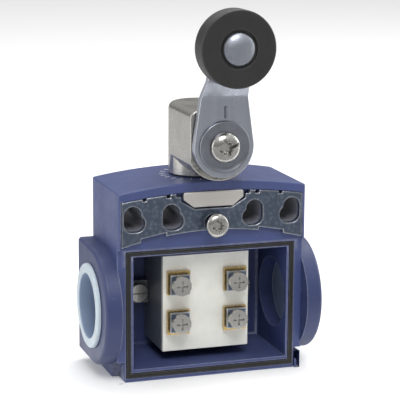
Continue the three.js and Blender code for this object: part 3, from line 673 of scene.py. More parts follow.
def cover_blue(name, colour, strip_colour):
    """The cover's plastic: a tongue painted paler as painted light, a painted highlight along the front's arched
    crease, and a plain pale strip printed up its front.
    """
    made = moulded_blue(name, colour)
    # Painted light: the tongue's leaning face is painted paler, as if it caught more light from above.
    made.tint(strip_mask(made.tree, (-9, -16, 37.0), (9, -9, 50)), lighter(colour, 0.06), 0.8)
    # Painted highlight: a pale line along the arched top edge of the front face, across the tongue's foot.
    side, crown, half = COVER_LOW.z + 33.3, COVER_LOW.z + 36.85, COVER_HIGH.x
    radius = (half**2 + (crown - side) ** 2) / (2 * (crown - side))
    crease = ring_mask(made.tree, (0, 0, crown - radius), (1, 0, 1), radius - 0.28, radius + 0.02, 0.12)
    front = strip_mask(made.tree, (-25, -15.2, 30), (25, -14.3, 40))
    made.tint(maths(made.tree, "MULTIPLY", crease, front), lighter(colour, 0.22), 0.75)
    mask = strip_mask(made.tree, (-12.5, -15.3, 5.9), (-9.3, -14.8, 31.1))
    print_grain = noise(made.tree, object_place(made.tree), 2600.0, 4.0, 0.7)
    made.tint(mask, strip_colour, 0.97)
    worn = maths(made.tree, "MULTIPLY", mask, spread(made.tree, print_grain, 0.5, 0.75))
    made.tint(worn, darker(strip_colour, 0.3), 0.5)
    made.bump(mask, 0.02)
    return made


def metal(name, colour, roughness, stretch, streak=0.25, depth=0.006, wear=0.5):
    """Rolled, drawn or turned metal with streaks along one axis, and brighter edges that are worn and carry a
    painted highlight.
    """
    made = Finish(name, colour, roughness, 1.0)
    lines = made.group("lines", Stretch=stretch, Scale=3200.0)
    marks = made.group("marks", Scale=230.0)
    made.tint(lines["Streak"], darker(colour, 0.45), streak)
    made.tint(marks["Specks"], darker(colour, 0.6), 0.5)
    made.tint(made.group("wear", Width=0.0003, Breakup=0.2)["Mask"], lighter(colour, 0.6), wear)
    made.roughen(lines["Streak"], roughness * 0.8, roughness * 1.25)
    made.bump(lines["Height"], depth)
    made.bump(marks["Scratches"], -0.01, 0.6)
    return made


def zinc_plate(name, colour):
    """Blue passivated zinc: cloudy, with a fine spangle, and stamped edges painted bright as worn metal and as a
    painted highlight.
    """
    made = Finish(name, colour, 0.4, 0.9)
    where = object_place(made.tree)
    cloud = spread(made.tree, noise(made.tree, where, 420.0, 6.0, 0.7), 0.35, 0.68)
    spangle = made.tree.nodes.new("ShaderNodeTexVoronoi")
    feed(made.tree, spangle.inputs["Vector"], where)
    feed(made.tree, spangle.inputs["Scale"], 900.0)
    marks = made.group("marks", Scale=330.0)
    made.tint(cloud, lighter(colour, 0.08), 0.8)
    made.tint(spread(made.tree, spangle.outputs["Distance"], 0.15, 0.6), darker(colour, 0.5), 0.6)
    made.tint(marks["Scratches"], lighter(colour, 0.2), 0.6)
    made.tint(marks["Specks"], darker(colour, 0.6), 0.6)
    made.tint(made.group("wear", Width=0.0006, Breakup=0.15)["Mask"], lighter(colour, 0.8), 1.0)
    made.roughen(cloud, 0.30, 0.50)
    made.bump(cloud, 0.012, 0.5)
    return made


def cast_zinc(name, colour):
    """Nickel finished zinc casting: faint orange peel, warm tone, and lighter edges, polished and with a painted
    highlight.
    """
    made = Finish(name, colour, 0.27, 1.0)
    grain = made.group("grain", Scale=1500.0, Mottle_scale=210.0)
    made.tint(grain["Mottle"], darker(colour, 0.3), 0.35)
    made.tint(made.group("marks", Scale=240.0)["Specks"], darker(colour, 0.55), 0.6)
    made.tint(made.group("wear", Width=0.0004, Breakup=0.15)["Mask"], lighter(colour, 0.6), 0.7)
    made.roughen(grain["Mottle"], 0.22, 0.36)
    made.bump(grain["Height"], 0.012, 0.6)
    return made


def turned_plastic(name, colour, centre):
    """Black plastic with the fine rings that a lathe leaves, paler on its rim, which is worn and carries a painted
    highlight.
    """
    made = Finish(name, colour, 0.5)
    offset = vector_maths(made.tree, "SUBTRACT", object_place(made.tree), tuple(c * MM for c in centre))
    flat = vector_maths(made.tree, "MULTIPLY", offset, (1.0, 0.0, 1.0))
    distance = vector_maths(made.tree, "LENGTH", flat)
    ringed = made.tree.nodes.new("ShaderNodeCombineXYZ")
    made.tree.links.new(distance, ringed.inputs[0])
    rings = noise(made.tree, ringed.outputs[0], 5200.0, 3.0, 0.6)
    grain = made.group("grain", Scale=2600.0, Mottle_scale=170.0)
    made.tint(spread(made.tree, rings, 0.35, 0.65), lighter(colour, 0.015), 0.7)
    made.tint(grain["Mottle"], lighter(colour, 0.01), 0.6)
    made.tint(made.group("wear", Width=0.0005, Breakup=0.5)["Mask"], lighter(colour, 0.12), 0.6)
    # Dusting on the upward faces, which also paints a lighter sheen on the roller's top.
    made.tint(made.group("dust", Amount=0.22)["Mask"], (0.3, 0.3, 0.3))
    made.roughen(grain["Mottle"], 0.34, 0.5)
    made.bump(rings, 0.012, 0.6)
    made.bump(grain["Height"], 0.012, 0.5)
    return made


def plain_plastic(name, colour, roughness=0.45):
    made = Finish(name, colour, roughness)
    grain = made.group("grain", Scale=3800.0, Mottle_scale=220.0)
    made.tint(grain["Mottle"], darker(colour, 0.18), 0.6)
    # Lighter edges: worn, with a painted highlight.
    made.tint(made.group("wear", Width=0.0003, Breakup=0.4)["Mask"], lighter(colour, 0.15), 0.5)
    made.roughen(grain["Mottle"], roughness * 0.85, roughness * 1.2)
    made.bump(grain["Height"], 0.012, 0.5)
    return made


def plug_plastic(name, colour):
    """Natural polyethylene: milky and waxy, with painted shade darkening the inside of the cup."""
    made = plain_plastic(name, colour, 0.4)
    # Painted shade: a darker blue-grey inside the cup, where shade falls in the recess.
    cup = ring_mask(made.tree, (0, ENTRY_Y, ENTRY_Z), (0, 1, 1), -8.4, 8.4, 0.25)
    made.tint(cup, (0.19, 0.25, 0.38), 0.92)
    made.constant("Subsurface Weight", 0.35)
    made.constant("Subsurface Radius", (0.6, 0.8, 1.0))
    made.constant("Subsurface Scale", 0.0015)
    return made


# ---------------------------------------------------------------- sizes and colours


def length(name, description, millimetres):
    return FloatProperty(
        name=name,
        description=description,
        default=millimetres * MM,
        min=0.0,
        unit="LENGTH",
        precision=5,
    )


def colour(name, description, default):
    return FloatVectorProperty(
        name=name,
        description=description,
        default=default,
        min=0.0,
        max=1.0,
        subtype="COLOR",
        size=3,
    )


class SwitchSizes(bpy.types.PropertyGroup):
    """Small sizes of the finished pieces that a user may change"""

    body_edge: length("Body edge", "Radius of the housing's outer edges", 0.4)
    boss_edge: length("Entry edge", "Radius around the face of a cable entry", 1.1)
    cover_edge: length("Cover edge", "Radius along the cover's arched top", 0.9)
    sheet_edge: length("Sheet edge", "Radius on the edges of stamped sheet metal", 0.26)
    head_corner: length("Head corner", "Radius along the top of the head", 1.7)
    roller_edge: length("Roller edge", "Radius on the rim of the roller", 0.45)
    serrations: IntProperty(
        name="Serrations", description="Teeth around the front rim of the head", default=84, min=12
    )
    scale_marks: IntProperty(
        name="Scale marks", description="Moulded marks around the head", default=24, min=0
    )


class SwitchColours(bpy.types.PropertyGroup):
    """Base colours of the finishes"""

    body: colour("Blue plastic", "Housing and cover", (0.050, 0.070, 0.195))
    # Painted shade: the cover's blue is a darker copy of the housing's blue plastic, for the dimmer light on its
    # front face.
    cover: colour("Cover plastic", "Front cover", (0.037, 0.058, 0.178))
    strip: colour("Strip", "Pale strip on the cover", (0.42, 0.51, 0.61))
    plug: colour("Plug plastic", "Cable entry plugs", (0.50, 0.58, 0.64))
    plate: colour("Zinc plate", "Fixing plate", (0.145, 0.185, 0.26))
    bracket: colour("Bracket steel", "Head lock bracket", (0.93, 0.90, 0.85))
    bright: colour("Bright steel", "Screws", (0.60, 0.59, 0.56))
    satin: colour("Satin steel", "Lever and washer", (0.50, 0.53, 0.60))
    casting: colour("Cast zinc", "Head", (0.60, 0.585, 0.545))
    black: colour("Black plastic", "Roller", (0.014, 0.014, 0.0135))
    floor: colour("Floor", "Studio floor", (0.86, 0.86, 0.86))


def sizes_of(context):
    """The sizes in millimetres."""
    group = context.scene.switch_sizes
    lengths = ("body_edge", "boss_edge", "cover_edge", "sheet_edge", "head_corner", "roller_edge")
    return {key: getattr(group, key) / MM for key in lengths}


# ---------------------------------------------------------------- finishes


class SWITCH_OT_finishes(bpy.types.Operator):
    """Make the shared shader groups and every material"""

    bl_idname = "switch.finishes"
    bl_label = "Finishes"

    def execute(self, context):
        chosen = context.scene.switch_colours
        tones = {key: tuple(getattr(chosen, key)) for key in SwitchColours.__annotations__}
        Finish.groups = {key: make() for key, make in GROUP_MAKERS.items()}
        moulded_blue("blue_plastic", tones["body"])
        housing_blue("housing_plastic", tones["body"])
        # Painted shade: the cable entry bosses take a darker copy of the blue plastic, for the shade on their side
        # faces.
        moulded_blue("entry_shaded_plastic", darker(tones["body"], 0.3))
        moulded_blue("mark_plastic", lighter(tones["body"], 0.5))
        # Painted shade: the cover takes the darker copy of the blue plastic, for the dimmer light on its front.
        cover_blue("cover_plastic", tones["cover"], tones["strip"])
        plug_plastic("pale_plastic", tones["plug"])
        zinc_plate("zinc_plated_steel", tones["plate"])
        metal("bright_steel", tones["bright"], 0.2, (0.04, 1.0, 1.0), wear=0.4)
        metal("bracket_steel", tones["bracket"], 0.42, (0.04, 1.0, 1.0), wear=0.6)
        metal("screw_steel", tones["bright"], 0.24, (1.0, 1.0, 1.0), streak=0.4, wear=0.5)
        metal("satin_steel", tones["satin"], 0.3, (1.0, 1.0, 0.04), streak=0.2, wear=0.6)
        metal("washer_steel", darker(tones["satin"], 0.4), 0.34, (1.0, 1.0, 1.0), streak=0.2, wear=0.6)
        metal("rivet_steel", darker(tones["satin"], 0.15), 0.4, (1.0, 1.0, 1.0), streak=0.35, depth=0.02)
        metal("spring_steel", darker(tones["satin"], 0.2), 0.3, (1.0, 1.0, 1.0), wear=0.3)
        metal("brass", (0.62, 0.44, 0.16), 0.26, (1.0, 0.05, 1.0), wear=0.4)
        cast_zinc("cast_zinc", tones["casting"])
        turned_plastic("black_plastic", tones["black"], (0.0, 0.0, ROLLER_Z))
        plain_plastic("grey_plastic", (0.16, 0.18, 0.2))
        plain_plastic("white_plastic", (0.75, 0.75, 0.7), 0.4)
        plain_plastic("black_rubber", (0.012, 0.012, 0.012), 0.65)
        return {"FINISHED"}


# ---------------------------------------------------------------- housing and cover


def entry_boss(edge):
    """The raised face of a cable entry, round in front and square at the back."""
    outline = [(BODY_REAR, 3), *arc((1.5, ENTRY_Z), 15, 270, 90, 60), (BODY_REAR, 33)]
    boss = slab_along_x("entry_boss_right", outline, 24.5, 28.8)
    round_edges(boss, lambda p: p.x > 28.7, edge, 8)
    cut(boss, rod("entry", ENTRY_BORE, (20, ENTRY_Y, ENTRY_Z), (30, ENTRY_Y, ENTRY_Z), 96))
    return shade(boss)


def plate_recess():
    half = PLATE_HIGH.x + 0.15
    across = [half - 2 * half * i / 30 for i in range(31)]
    foot = [(-x, 38.25 - x * x / FOOT_FALL) for x in across]
    crown = [(x, 48.65 - x * x / TOP_FALL) for x in across]
    return slab_along_y("recess", foot + crown, BODY_FRONT - 0.5, -8.4)


def hook_pocket(side):
    near, far = 22.7 * side, (BODY_SIDE + 0.5) * side
    return rod("pocket", 6.35, (near, COVER_PIVOT.y, COVER_PIVOT.z), (far, COVER_PIVOT.y, COVER_PIVOT.z))


def groove_ring():
    ring = block("groove", (-22.45, SEAM_Y - 0.4, 0.95), (22.45, SEAM_Y + 0.9, 33.75))
    return cut(ring, block("inside", (-21.05, SEAM_Y - 2, 2.35), (21.05, SEAM_Y + 2, 32.75)))


class SWITCH_OT_housing(bpy.types.Operator):
    """Moulded housing with its two cable entries"""

    bl_idname = "switch.housing"
    bl_label = "Housing"

    def execute(self, context):
        sizes = sizes_of(context)
        outline = arched(BODY_SIDE, 0, SHOULDER_Z, HOUSING_HIGH.z)
        body = slab_along_y("housing_body", outline, BODY_FRONT, BODY_REAR)
        soften(body, sizes["body_edge"], 4)
        cut(body, block("front", (-30, -12, -1), (30, SEAM_Y, 34.6)))
        right = entry_boss(sizes["boss_edge"])
        left = shade(mirrored_across(right, "entry_boss_left"))
        cavity = block("cavity", (-20.5, -12, 3.2), (20.5, 12.5, 32.4))
        round_edges(cavity, lambda p: p.y > 0, 1.2)
        cut(
            body,
            plate_recess(),
            block("foot", (-24.1, -10.5, 30), (24.1, SEAM_Y, 39)),
            cavity,
            groove_ring(),
            rod("neck", 6.6, (0, HEAD_Y, 44.2), (0, HEAD_Y, 53), 96),
            turned("neck_rim", [(0, 50.7), (6.6, 50.7), (7.2, 51.3), (0, 51.3)], (0, HEAD_Y, 0), Z_AXIS, 96),
            rod("channel", 2.6, (0, HEAD_Y, 32), (0, HEAD_Y, 44.6)),
            block("bracket_slot", (-6.6, -11, 46.4), (6.6, 4.6, 48)),
            rod("screw_hole", SCREW_HOLE, (0, -11, SCREW_Z), (0, -2, SCREW_Z)),
        )
        for side in (-1, 1):
            cut(
                body,
                rod("entry", ENTRY_BORE, (19.5 * side, ENTRY_Y, ENTRY_Z), (30 * side, ENTRY_Y, ENTRY_Z), 96),
                hook_pocket(side),
                rod("pilot", 1.5, (14.2 * side, 11, 18.5), (14.2 * side, 14, 18.5)),
                *[slab_along_y("slot", peanut(x * side), -11, 16) for x in SLOT_X],
            )
        shade(body)
        finish(body, "base", "blue_plastic", "housing_plastic", "housing")
        # Painted shade: both bosses take the darker copy of the blue plastic.
        finish(right, "base", "blue_plastic", "entry_shaded_plastic")
        finish(left, "base", "blue_plastic", "entry_shaded_plastic")
        return {"FINISHED"}


class SWITCH_OT_scale_marks(bpy.types.Operator):
    """Small moulded marks on the housing's top, around the head"""

    bl_idname = "switch.scale_marks"
    bl_label = "Scale marks"

    def execute(self, context):
        count = context.scene.switch_sizes.scale_marks
        first = block("mark", (8.7, HEAD_Y - 0.16, 50.2), (10.1, HEAD_Y + 0.16, 51.1))
        soften(first, 0.08)
        marks = []
        for i in range(count):
            mark = rotated(copied(first, "mark_copy"), 360 * i / count, "Z", (0, HEAD_Y, 0))
            middle = sum((v.co.x for v in mark.data.vertices)) / len(mark.data.vertices) / MM
            sink = HOUSING_HIGH.z - arch_top(middle, BODY_SIDE, SHOULDER_Z, HOUSING_HIGH.z)
            marks.append(shifted(mark, (0, 0, -sink)))
        bpy.data.objects.remove(first)
        finish(joined("head_scale_marks", marks), "base", "blue_plastic", "mark_plastic")
        return {"FINISHED"}


def tongue_outline():
    flank = curve_through((8.6, 35.5), (6.1, 38.8), (3.9, 44))
    tip = curve_through((1.3, 47.9), (0, 49.7), (-1.3, 47.9), 10)
    right = [*flank, (2.6, 45.95)]
    return [*right, *tip, *[(-x, z) for x, z in reversed(right)]]


def cover_shell(edge):
    """The arched shell: it widens a little from its front face to its seam."""
    rear = arched(COVER_HIGH.x, 0, 34.3, 38.1)
    shell = slab_along_y("front_cover_shell", rear, COVER_LOW.y, -10.3)
    select_where(shell, lambda p: p.y < -14.9 and p.z > 33, "VERT")
    bpy.ops.transform.resize(value=(1, 1, 0.9342), center_override=(0, COVER_LOW.y * MM, 19.13 * MM))
    leave_edit()
    select_where(shell, lambda p: p.y > -10.4, "VERT")
    bpy.ops.mesh.select_mode(type="FACE")
    bpy.ops.mesh.extrude_region_move(TRANSFORM_OT_translate={"value": (0, 1.5 * MM, 0)})
    leave_edit()
    round_edges(shell, lambda p: p.y < -14.9 and p.z > 33.2, edge, 6)
    round_edges(shell, lambda p: p.y < -14.4 and abs(p.x) > 24.0 and p.z < 33.6, edge * 0.4, 3)
    return shell


def cover_tongue():
    tongue = slab_along_y("tongue", tongue_outline(), COVER_LOW.y, -10.5)
    lean = [(-16.5, 36.8), (-15, 36.8), (-12.9, 49.4), (-12.7, 50.6), (-16.5, 50.6)]
    cut(tongue, slab_along_x("lean", lean, -10, 10))
    return round_edges(tongue, lambda p: p.y < -12.6 and p.z > 35.6, 0.45, 4)


def foot_notch(x, width, top):
    """A round-topped notch through the foot of the cover."""
    half = width / 2
    round_top = arc((x, top - half), half, 0, 180, 12) if width < 2 else [
        *arc((x + half - 0.7, top - 0.7), 0.7, 0, 90, 5),
        *arc((x - half + 0.7, top - 0.7), 0.7, 90, 180, 5),
    ]
    return slab_along_y("notch", [(x - half, -1), (x + half, -1), *round_top], -16, -8)


class SWITCH_OT_cover(bpy.types.Operator):
    """Front cover with its tongue, foot notches and hooks"""

    bl_idname = "switch.cover"
    bl_label = "Front cover"

    def execute(self, context):
        sizes = sizes_of(context)
        cover = cover_shell(sizes["cover_edge"])
        weld(cover, cover_tongue())
        inside = block("inside", (-21.4, -13.2, 5.2), (21.4, -7, 32.2))
        round_edges(inside, lambda p: p.y < -13, 0.8)
        stepped = [(0, -17), (3.7, -17), (3.7, -14.6), (3.45, -14.3), (3.45, -12.7), (0, -12.7)]
        recess = turned("recess", stepped, (0, 0, SCREW_Z), Y_AXIS)
        cut(cover, inside, recess, rod("screw_hole", SCREW_HOLE, (0, -16, SCREW_Z), (0, -7, SCREW_Z)))
        for side in (-1, 1):
            cut(cover, foot_notch(side * 18.8, 2.8, 3.9), foot_notch(side * 22.6, 1.6, 2.6))
        hook_outline = [(-9.2, 0), (-2.8, 0), (-2.8, 0.3), (-5.5, 4.2), (-9.2, 4.5)]
        hook = slab_along_x("hook", hook_outline, 22.9, COVER_HIGH.x)
        weld(cover, mirrored_across(hook, "hook_left"), hook)
        cover.name = "front_cover_shell"
        soften(cover, 0.16, 2, 50)
        finish(cover, "cover", "blue_plastic", "cover_plastic", "front_cover")
        return {"FINISHED"}


# ---------------------------------------------------------------- plate, bracket, plugs and cover screw


def band_outline(steps=30):
    """The fixing plate's outline, curved along its top and its foot."""
    half = PLATE_HIGH.x
    across = [half - 2 * half * i / steps for i in range(steps + 1)]
    foot = [(-x, 38.4 - x * x / FOOT_FALL) for x in across]
    return foot + [(x, 48.5 - x * x / TOP_FALL) for x in across]


def plate_notch(side, inner, outer, foot):
    """A notch in the top edge of the fixing plate."""
    outline = [(inner, 51), (outer, 51), (outer, foot), (inner, foot)]
    return slab_along_y("notch", [(x * side, z) for x, z in outline], *THROUGH_PLATE)


class SWITCH_OT_fixing_plate(bpy.types.Operator):
    """Stamped fixing plate with four slots"""

    bl_idname = "switch.fixing_plate"
    bl_label = "Fixing plate"

    def execute(self, context):
        sizes = sizes_of(context)
        plate = slab_along_y("fixing_plate_sheet", band_outline(), PLATE_LOW.y, PLATE_HIGH.y)
        valley = both_sides([(8.5, 51), (8.5, 46.2), (4.9, 44.05)])
        cut(
            plate,
            slab_along_y("valley", valley, *THROUGH_PLATE),
            block("saddle", (-9.7, -11, 47.3), (9.7, -8, 51)),
            rod("screw_way", 2.2, (0, -11, SCREW_Z), (0, -8, SCREW_Z)),
        )
        for side in (-1, 1):
            foot_slot = [(x * side, z) for x, z in ((12.3, 35), (18.8, 35), (18.8, 37.2), (12.3, 38.4))]
            cut(
                plate,
                *[plate_notch(side, *notch) for notch in PLATE_NOTCHES],
                slab_along_y("foot_slot", foot_slot, *THROUGH_PLATE),
                *[slab_along_y("slot", peanut(x * side), *THROUGH_PLATE) for x in SLOT_X],
            )
        soften(plate, sizes["sheet_edge"], 3)
        finish(plate, "base", "zinc_plated_steel", "zinc_plated_steel", "fixing_plate")
        return {"FINISHED"}


class SWITCH_OT_bracket(bpy.types.Operator):
    """Sliding bracket that locks the head: a rolled lip and a fork"""

    bl_idname = "switch.bracket"
    bl_label = "Head lock bracket"

    def execute(self, context):
        upright = both_sides([(5.2, 44.5), (7.9, 46.6), (7.9, 48.0), (7.5, 48.4)])
        lip = slab_along_y("head_lock_bracket_sheet", upright, -10.1, -9.1)
        round_edges(lip, lambda p: p.y < -10 and p.z > 48.3, 0.75, 6)
        fork = block("fork", (-6.3, -9.4, 46.7), (6.3, 4, 47.7))
        throat = block("throat", (-FORK_THROAT, HEAD_Y, 46), (FORK_THROAT, 5, 49))
        cut(fork, throat, rod("throat_end", FORK_THROAT, (0, HEAD_Y, 46), (0, HEAD_Y, 49)))
        weld(lip, fork)
        soften(lip, 0.12)
        finish(lip, "base", "bright_steel", "bracket_steel", "head_lock_bracket")
        return {"FINISHED"}


class SWITCH_OT_plugs(bpy.types.Operator):
    """Blanking plugs pressed into the two cable entries"""

    bl_idname = "switch.plugs"
    bl_label = "Cable entry plugs"

    def execute(self, context):
        profile = [
            (0, 25.0),
            (7.9, 25.0),
            (8.15, 25.25),
            (8.25, 29.45),
            *[(8.25 + 0.35 * (1 - math.cos(t)), 29.45 + 0.35 * math.sin(t)) for t in EDGE_TURNS],
            (10.35, 29.8),
            *[(10.35 + 0.5 * math.sin(t), 29.3 + 0.5 * math.cos(t)) for t in EDGE_TURNS],
            (10.9, 28.95),
            (10.85, 28.9),
            (9.1, 28.9),
            (9.05, 24.2),
            (8.8, 24.0),
            (0, 24.0),
        ]
        right = turned("plug_right_cup", profile, (0, ENTRY_Y, ENTRY_Z), X_AXIS, 96)
        low_dome = [(0, 25.35), (0.9, 25.3), (1.2, 24.8), (0, 24.8)]
        pip = turned("pip", low_dome, (0, ENTRY_Y, ENTRY_Z), X_AXIS, 32)
        weld(right, pip)
        shade(right, 40)
        left = mirrored_across(right, "plug_left_cup")
        shade(left, 40)
        finish(right, "base", "pale_plastic", "pale_plastic", "cable_entry_plug_right")
        finish(left, "base", "pale_plastic", "pale_plastic", "cable_entry_plug_left")
        return {"FINISHED"}


def star_recess(reach, front, floor, turn, slot=0.0):
    """A tapered recess with four long arms and four short ones; a slot may lengthen the first arm."""
    outline = []
    for arm in range(8):
        middle = turn + 45 * arm
        length, half_angle = (reach, 9) if arm % 2 == 0 else (reach * 0.8, 6)
        if slot and arm == 0:
            length, half_angle = slot, 4
        outline += arc((0, 0), length, middle - half_angle, middle + half_angle, 1)
        outline += arc((0, 0), reach * 0.58, middle + 22.5, middle + 22.5, 1)[:1]
    recess = slab_along_y("recess", outline, front, floor)
    select_where(recess, lambda p: p.y > floor - 0.01, "VERT")
    bpy.ops.transform.resize(value=(0.6, 1, 0.6), center_override=(0, floor * MM, 0))
    leave_edit()
    return recess


class SWITCH_OT_cover_screw(bpy.types.Operator):
    """Pan head screw that holds the cover"""

    bl_idname = "switch.cover_screw"
    bl_label = "Cover screw"

    def execute(self, context):
        profile = [
            (0, -14.5),
            (0.8, -14.47),
            (1.6, -14.36),
            (2.2, -14.18),
            (2.65, -13.92),
            (2.92, -13.6),
            (3.0, -13.3),
            (3.0, -12.95),
            (2.9, -12.9),
            (1.6, -12.9),
            (1.6, -3.0),
            (1.2, -2.6),
            (0, -2.6),
        ]
        screw = turned("cover_screw_head", profile, (0, 0, 0), Y_AXIS)
        cut(screw, star_recess(1.95, -15.0, -13.1, 12))
        shifted(screw, (0, 0, SCREW_Z))
        soften(screw, 0.06, 2, 40)
        finish(screw, "cover", "bright_steel", "screw_steel", "cover_screw")
        return {"FINISHED"}


# ---------------------------------------------------------------- rotary head


def head_outline(corner):
    """The nose seen from the front: a round foot, straight sides and a rounded top."""
    half, radius = 7.8, 9.0
    shoulder = math.degrees(math.acos(half / radius))
    foot = arc((0, PIVOT_Z), radius, 180 + shoulder, 360 - shoulder, 30)
    right = arc((half - corner, HEAD_HIGH.z - corner), corner, 0, 90, 8)
    left = arc((corner - half, HEAD_HIGH.z - corner), corner, 90, 180, 8)
    return [*foot, *right, *left]


def head_column(corner):
    half, top = 7.8, HEAD_HIGH.z
    profile = [
        (0, 44.6),
        (6.1, 44.6),
        (6.3, 44.8),
        (6.3, 46.4),
        (5.1, 46.4),
        (5.1, 48.0),
        (6.3, 48.0),
        (6.3, 49.2),
        (5.5, 49.2),
        (5.5, 50.4),
        (6.3, 50.4),
        (6.3, 51.15),
        (7.5, 51.15),
        (7.8, 51.45),
        *arc((half - corner, top - corner), corner, 0, 90, 8),
        (0, top),
    ]
    return turned("column", profile, (0, HEAD_Y, 0), Z_AXIS, 96)


class SWITCH_OT_head(bpy.types.Operator):
    """Cast rotary head: a round column with a nose that carries the lever's shaft"""

    bl_idname = "switch.head"
    bl_label = "Head"

    def execute(self, context):
        corner = sizes_of(context)["head_corner"]
        head = slab_along_y("head_casting", head_outline(corner), HEAD_LOW.y, HEAD_Y)
        round_edges(head, lambda p: p.y < HEAD_LOW.y + 0.01, 0.35, 3)
        weld(head, head_column(corner))
        pivot = (0, 0, PIVOT_Z)
        chamber = [
            (0, -17),
            (7.2, -17),
            (7.2, -15),
            (7.0, -14.8),
            (7.0, -13.7),
            (6.2, -13.7),
            (6.2, 6.5),
            (0, 6.5),
        ]
        cut(
            head,
            turned("chamber", chamber, pivot, Y_AXIS, 96),
            rod("shaft_end", 2.2, (0, 6, PIVOT_Z), (0, 8.3, PIVOT_Z)),
            rod("spring_well", 4.3, (0, HEAD_Y, 46.5), (0, HEAD_Y, PIVOT_Z)),
            rod("plunger_way", 2.5, (0, HEAD_Y, 44), (0, HEAD_Y, 47)),
        )
        soften(head, 0.1, 2, 50)
        finish(head, "head", "cast_zinc", "cast_zinc", "head_body")
        return {"FINISHED"}


class SWITCH_OT_serrations(bpy.types.Operator):
    """Serrated rim around the foot of the head's nose"""

    bl_idname = "switch.serrations"
    bl_label = "Head serrations"

    def execute(self, context):
        teeth = context.scene.switch_sizes.serrations
        outer = []
        for i in range(teeth):
            middle = 180 + 360 * i / teeth
            for step, radius in ((-0.25, 8.72), (0.0, 8.98), (0.22, 8.98), (0.47, 8.72)):
                angle = math.radians(middle + 360 * step / teeth)
                outer.append((radius * math.cos(angle), PIVOT_Z + radius * math.sin(angle)))
        ring = slab_along_y("head_serrated_rim", outer, -15.0, -13.9)
        half = 7.79
        cut(
            ring,
            rod("bore", 7.4, (0, -17, PIVOT_Z), (0, -12, PIVOT_Z), 96),
            block("top", (-10, -17, PIVOT_Z - 3), (10, -12, 72)),
            block("left", (-12, -17, 48), (-half, -12, 72)),
            block("right", (half, -17, 48), (12, -12, 72)),
        )
        soften(ring, 0.04, 2, 30)
        finish(ring, "head", "cast_zinc", "cast_zinc")
        return {"FINISHED"}


# ---------------------------------------------------------------- lever, washer, screw and roller


def lever_outline():
    reach = ROLLER_Z - PIVOT_Z
    lean = math.degrees(math.asin((7.7 - 4.2) / reach))
    foot = arc((0, PIVOT_Z), 7.7, 180 - lean, 360 + lean, 48)
    tip = arc((0, ROLLER_Z), 4.2, lean, 180 - lean, 20)
    return [*foot, *tip]


class SWITCH_OT_lever(bpy.types.Operator):
    """Stamped and cranked lever"""

    bl_idname = "switch.lever"
    bl_label = "Roller lever"

    def execute(self, context):
        back, crank, low, high = LEVER_HIGH.y, -3.3, 73.0, 77.5
        lever = slab_along_y("roller_lever_blade", lever_outline(), back - 2.2, back)
        only(lever)
        radius = 0.5
        bends = [low - radius, low, low + radius, high - radius, high, high + radius]
        bpy.ops.object.mode_set(mode="EDIT")
        for z in bends:
            bpy.ops.mesh.select_all(action="SELECT")
            bpy.ops.mesh.bisect(plane_co=(0, 0, z * MM), plane_no=Z_AXIS)
        bpy.ops.object.mode_set(mode="OBJECT")
        slope = crank / (high - low)
        eased = slope * radius
        steps = [
            (low - radius, 0.0),
            (low, eased * 0.25),
            (low + radius, eased),
            (high - radius, crank - eased),
            (high, crank - eased * 0.25),
            (high + radius, crank),
        ]
        for z, offset in steps[:-1]:
            select_where(lever, lambda p: abs(p.z - z) < 0.01, "VERT")
            bpy.ops.transform.translate(value=(0, offset * MM, 0))
            leave_edit()
        select_where(lever, lambda p: p.z > high + radius - 0.01, "VERT")
        bpy.ops.transform.translate(value=(0, crank * MM, 0))
        leave_edit()
        cut(
            lever,
            rod("pivot_hole", 2.3, (0, -30, PIVOT_Z), (0, -10, PIVOT_Z)),
            rod("rivet_hole", 2.3, (0, -30, ROLLER_Z), (0, -10, ROLLER_Z)),
            block("index_line", (0.05, back - 3, 68.1), (0.5, back - 2.08, 70.8)),
        )
        soften(lever, 0.28, 3, 45)
        finish(lever, "lever", "satin_steel", "satin_steel", "roller_lever")
        return {"FINISHED"}


class SWITCH_OT_lever_screw(bpy.types.Operator):
    """Washer and pan head screw that clamp the lever"""

    bl_idname = "switch.lever_screw"
    bl_label = "Lever washer and screw"

    def execute(self, context):
        pivot = (0, 0, PIVOT_Z)
        dish = [
            (2.3, -18.0),
            (6.2, -18.0),
            (6.42, -18.08),
            (6.5, -18.25),
            (6.48, -18.5),
            (6.35, -18.65),
            (6.15, -18.7),
            (5.95, -18.64),
            (5.6, -18.46),
            (5.0, -18.36),
            (4.1, -18.33),
            (2.3, -18.33),
        ]
        washer = shade(turned("lever_washer_dish", dish, pivot, Y_AXIS, 96), 50)
        finish(washer, "lever", "satin_steel", "washer_steel", "lever_washer")
        head = [
            (0, -20.5),
            (0.9, -20.46),
            (1.8, -20.32),
            (2.6, -20.06),
            (3.2, -19.72),
            (3.62, -19.3),
            (3.82, -18.9),
            (3.85, -18.6),
            (3.7, -18.45),
            (2.0, -18.45),
            (2.0, -6.3),
            (1.7, -6.0),
            (0, -6.0),
        ]
        screw = turned("lever_clamp_screw_head", head, (0, 0, 0), Y_AXIS)
        cut(screw, star_recess(2.45, -21.0, -18.7, 18, 4.6))
        shifted(screw, (0, 0, PIVOT_Z))
        soften(screw, 0.07, 2, 40)
        finish(screw, "shaft", "bright_steel", "screw_steel", "lever_clamp_screw")
        return {"FINISHED"}


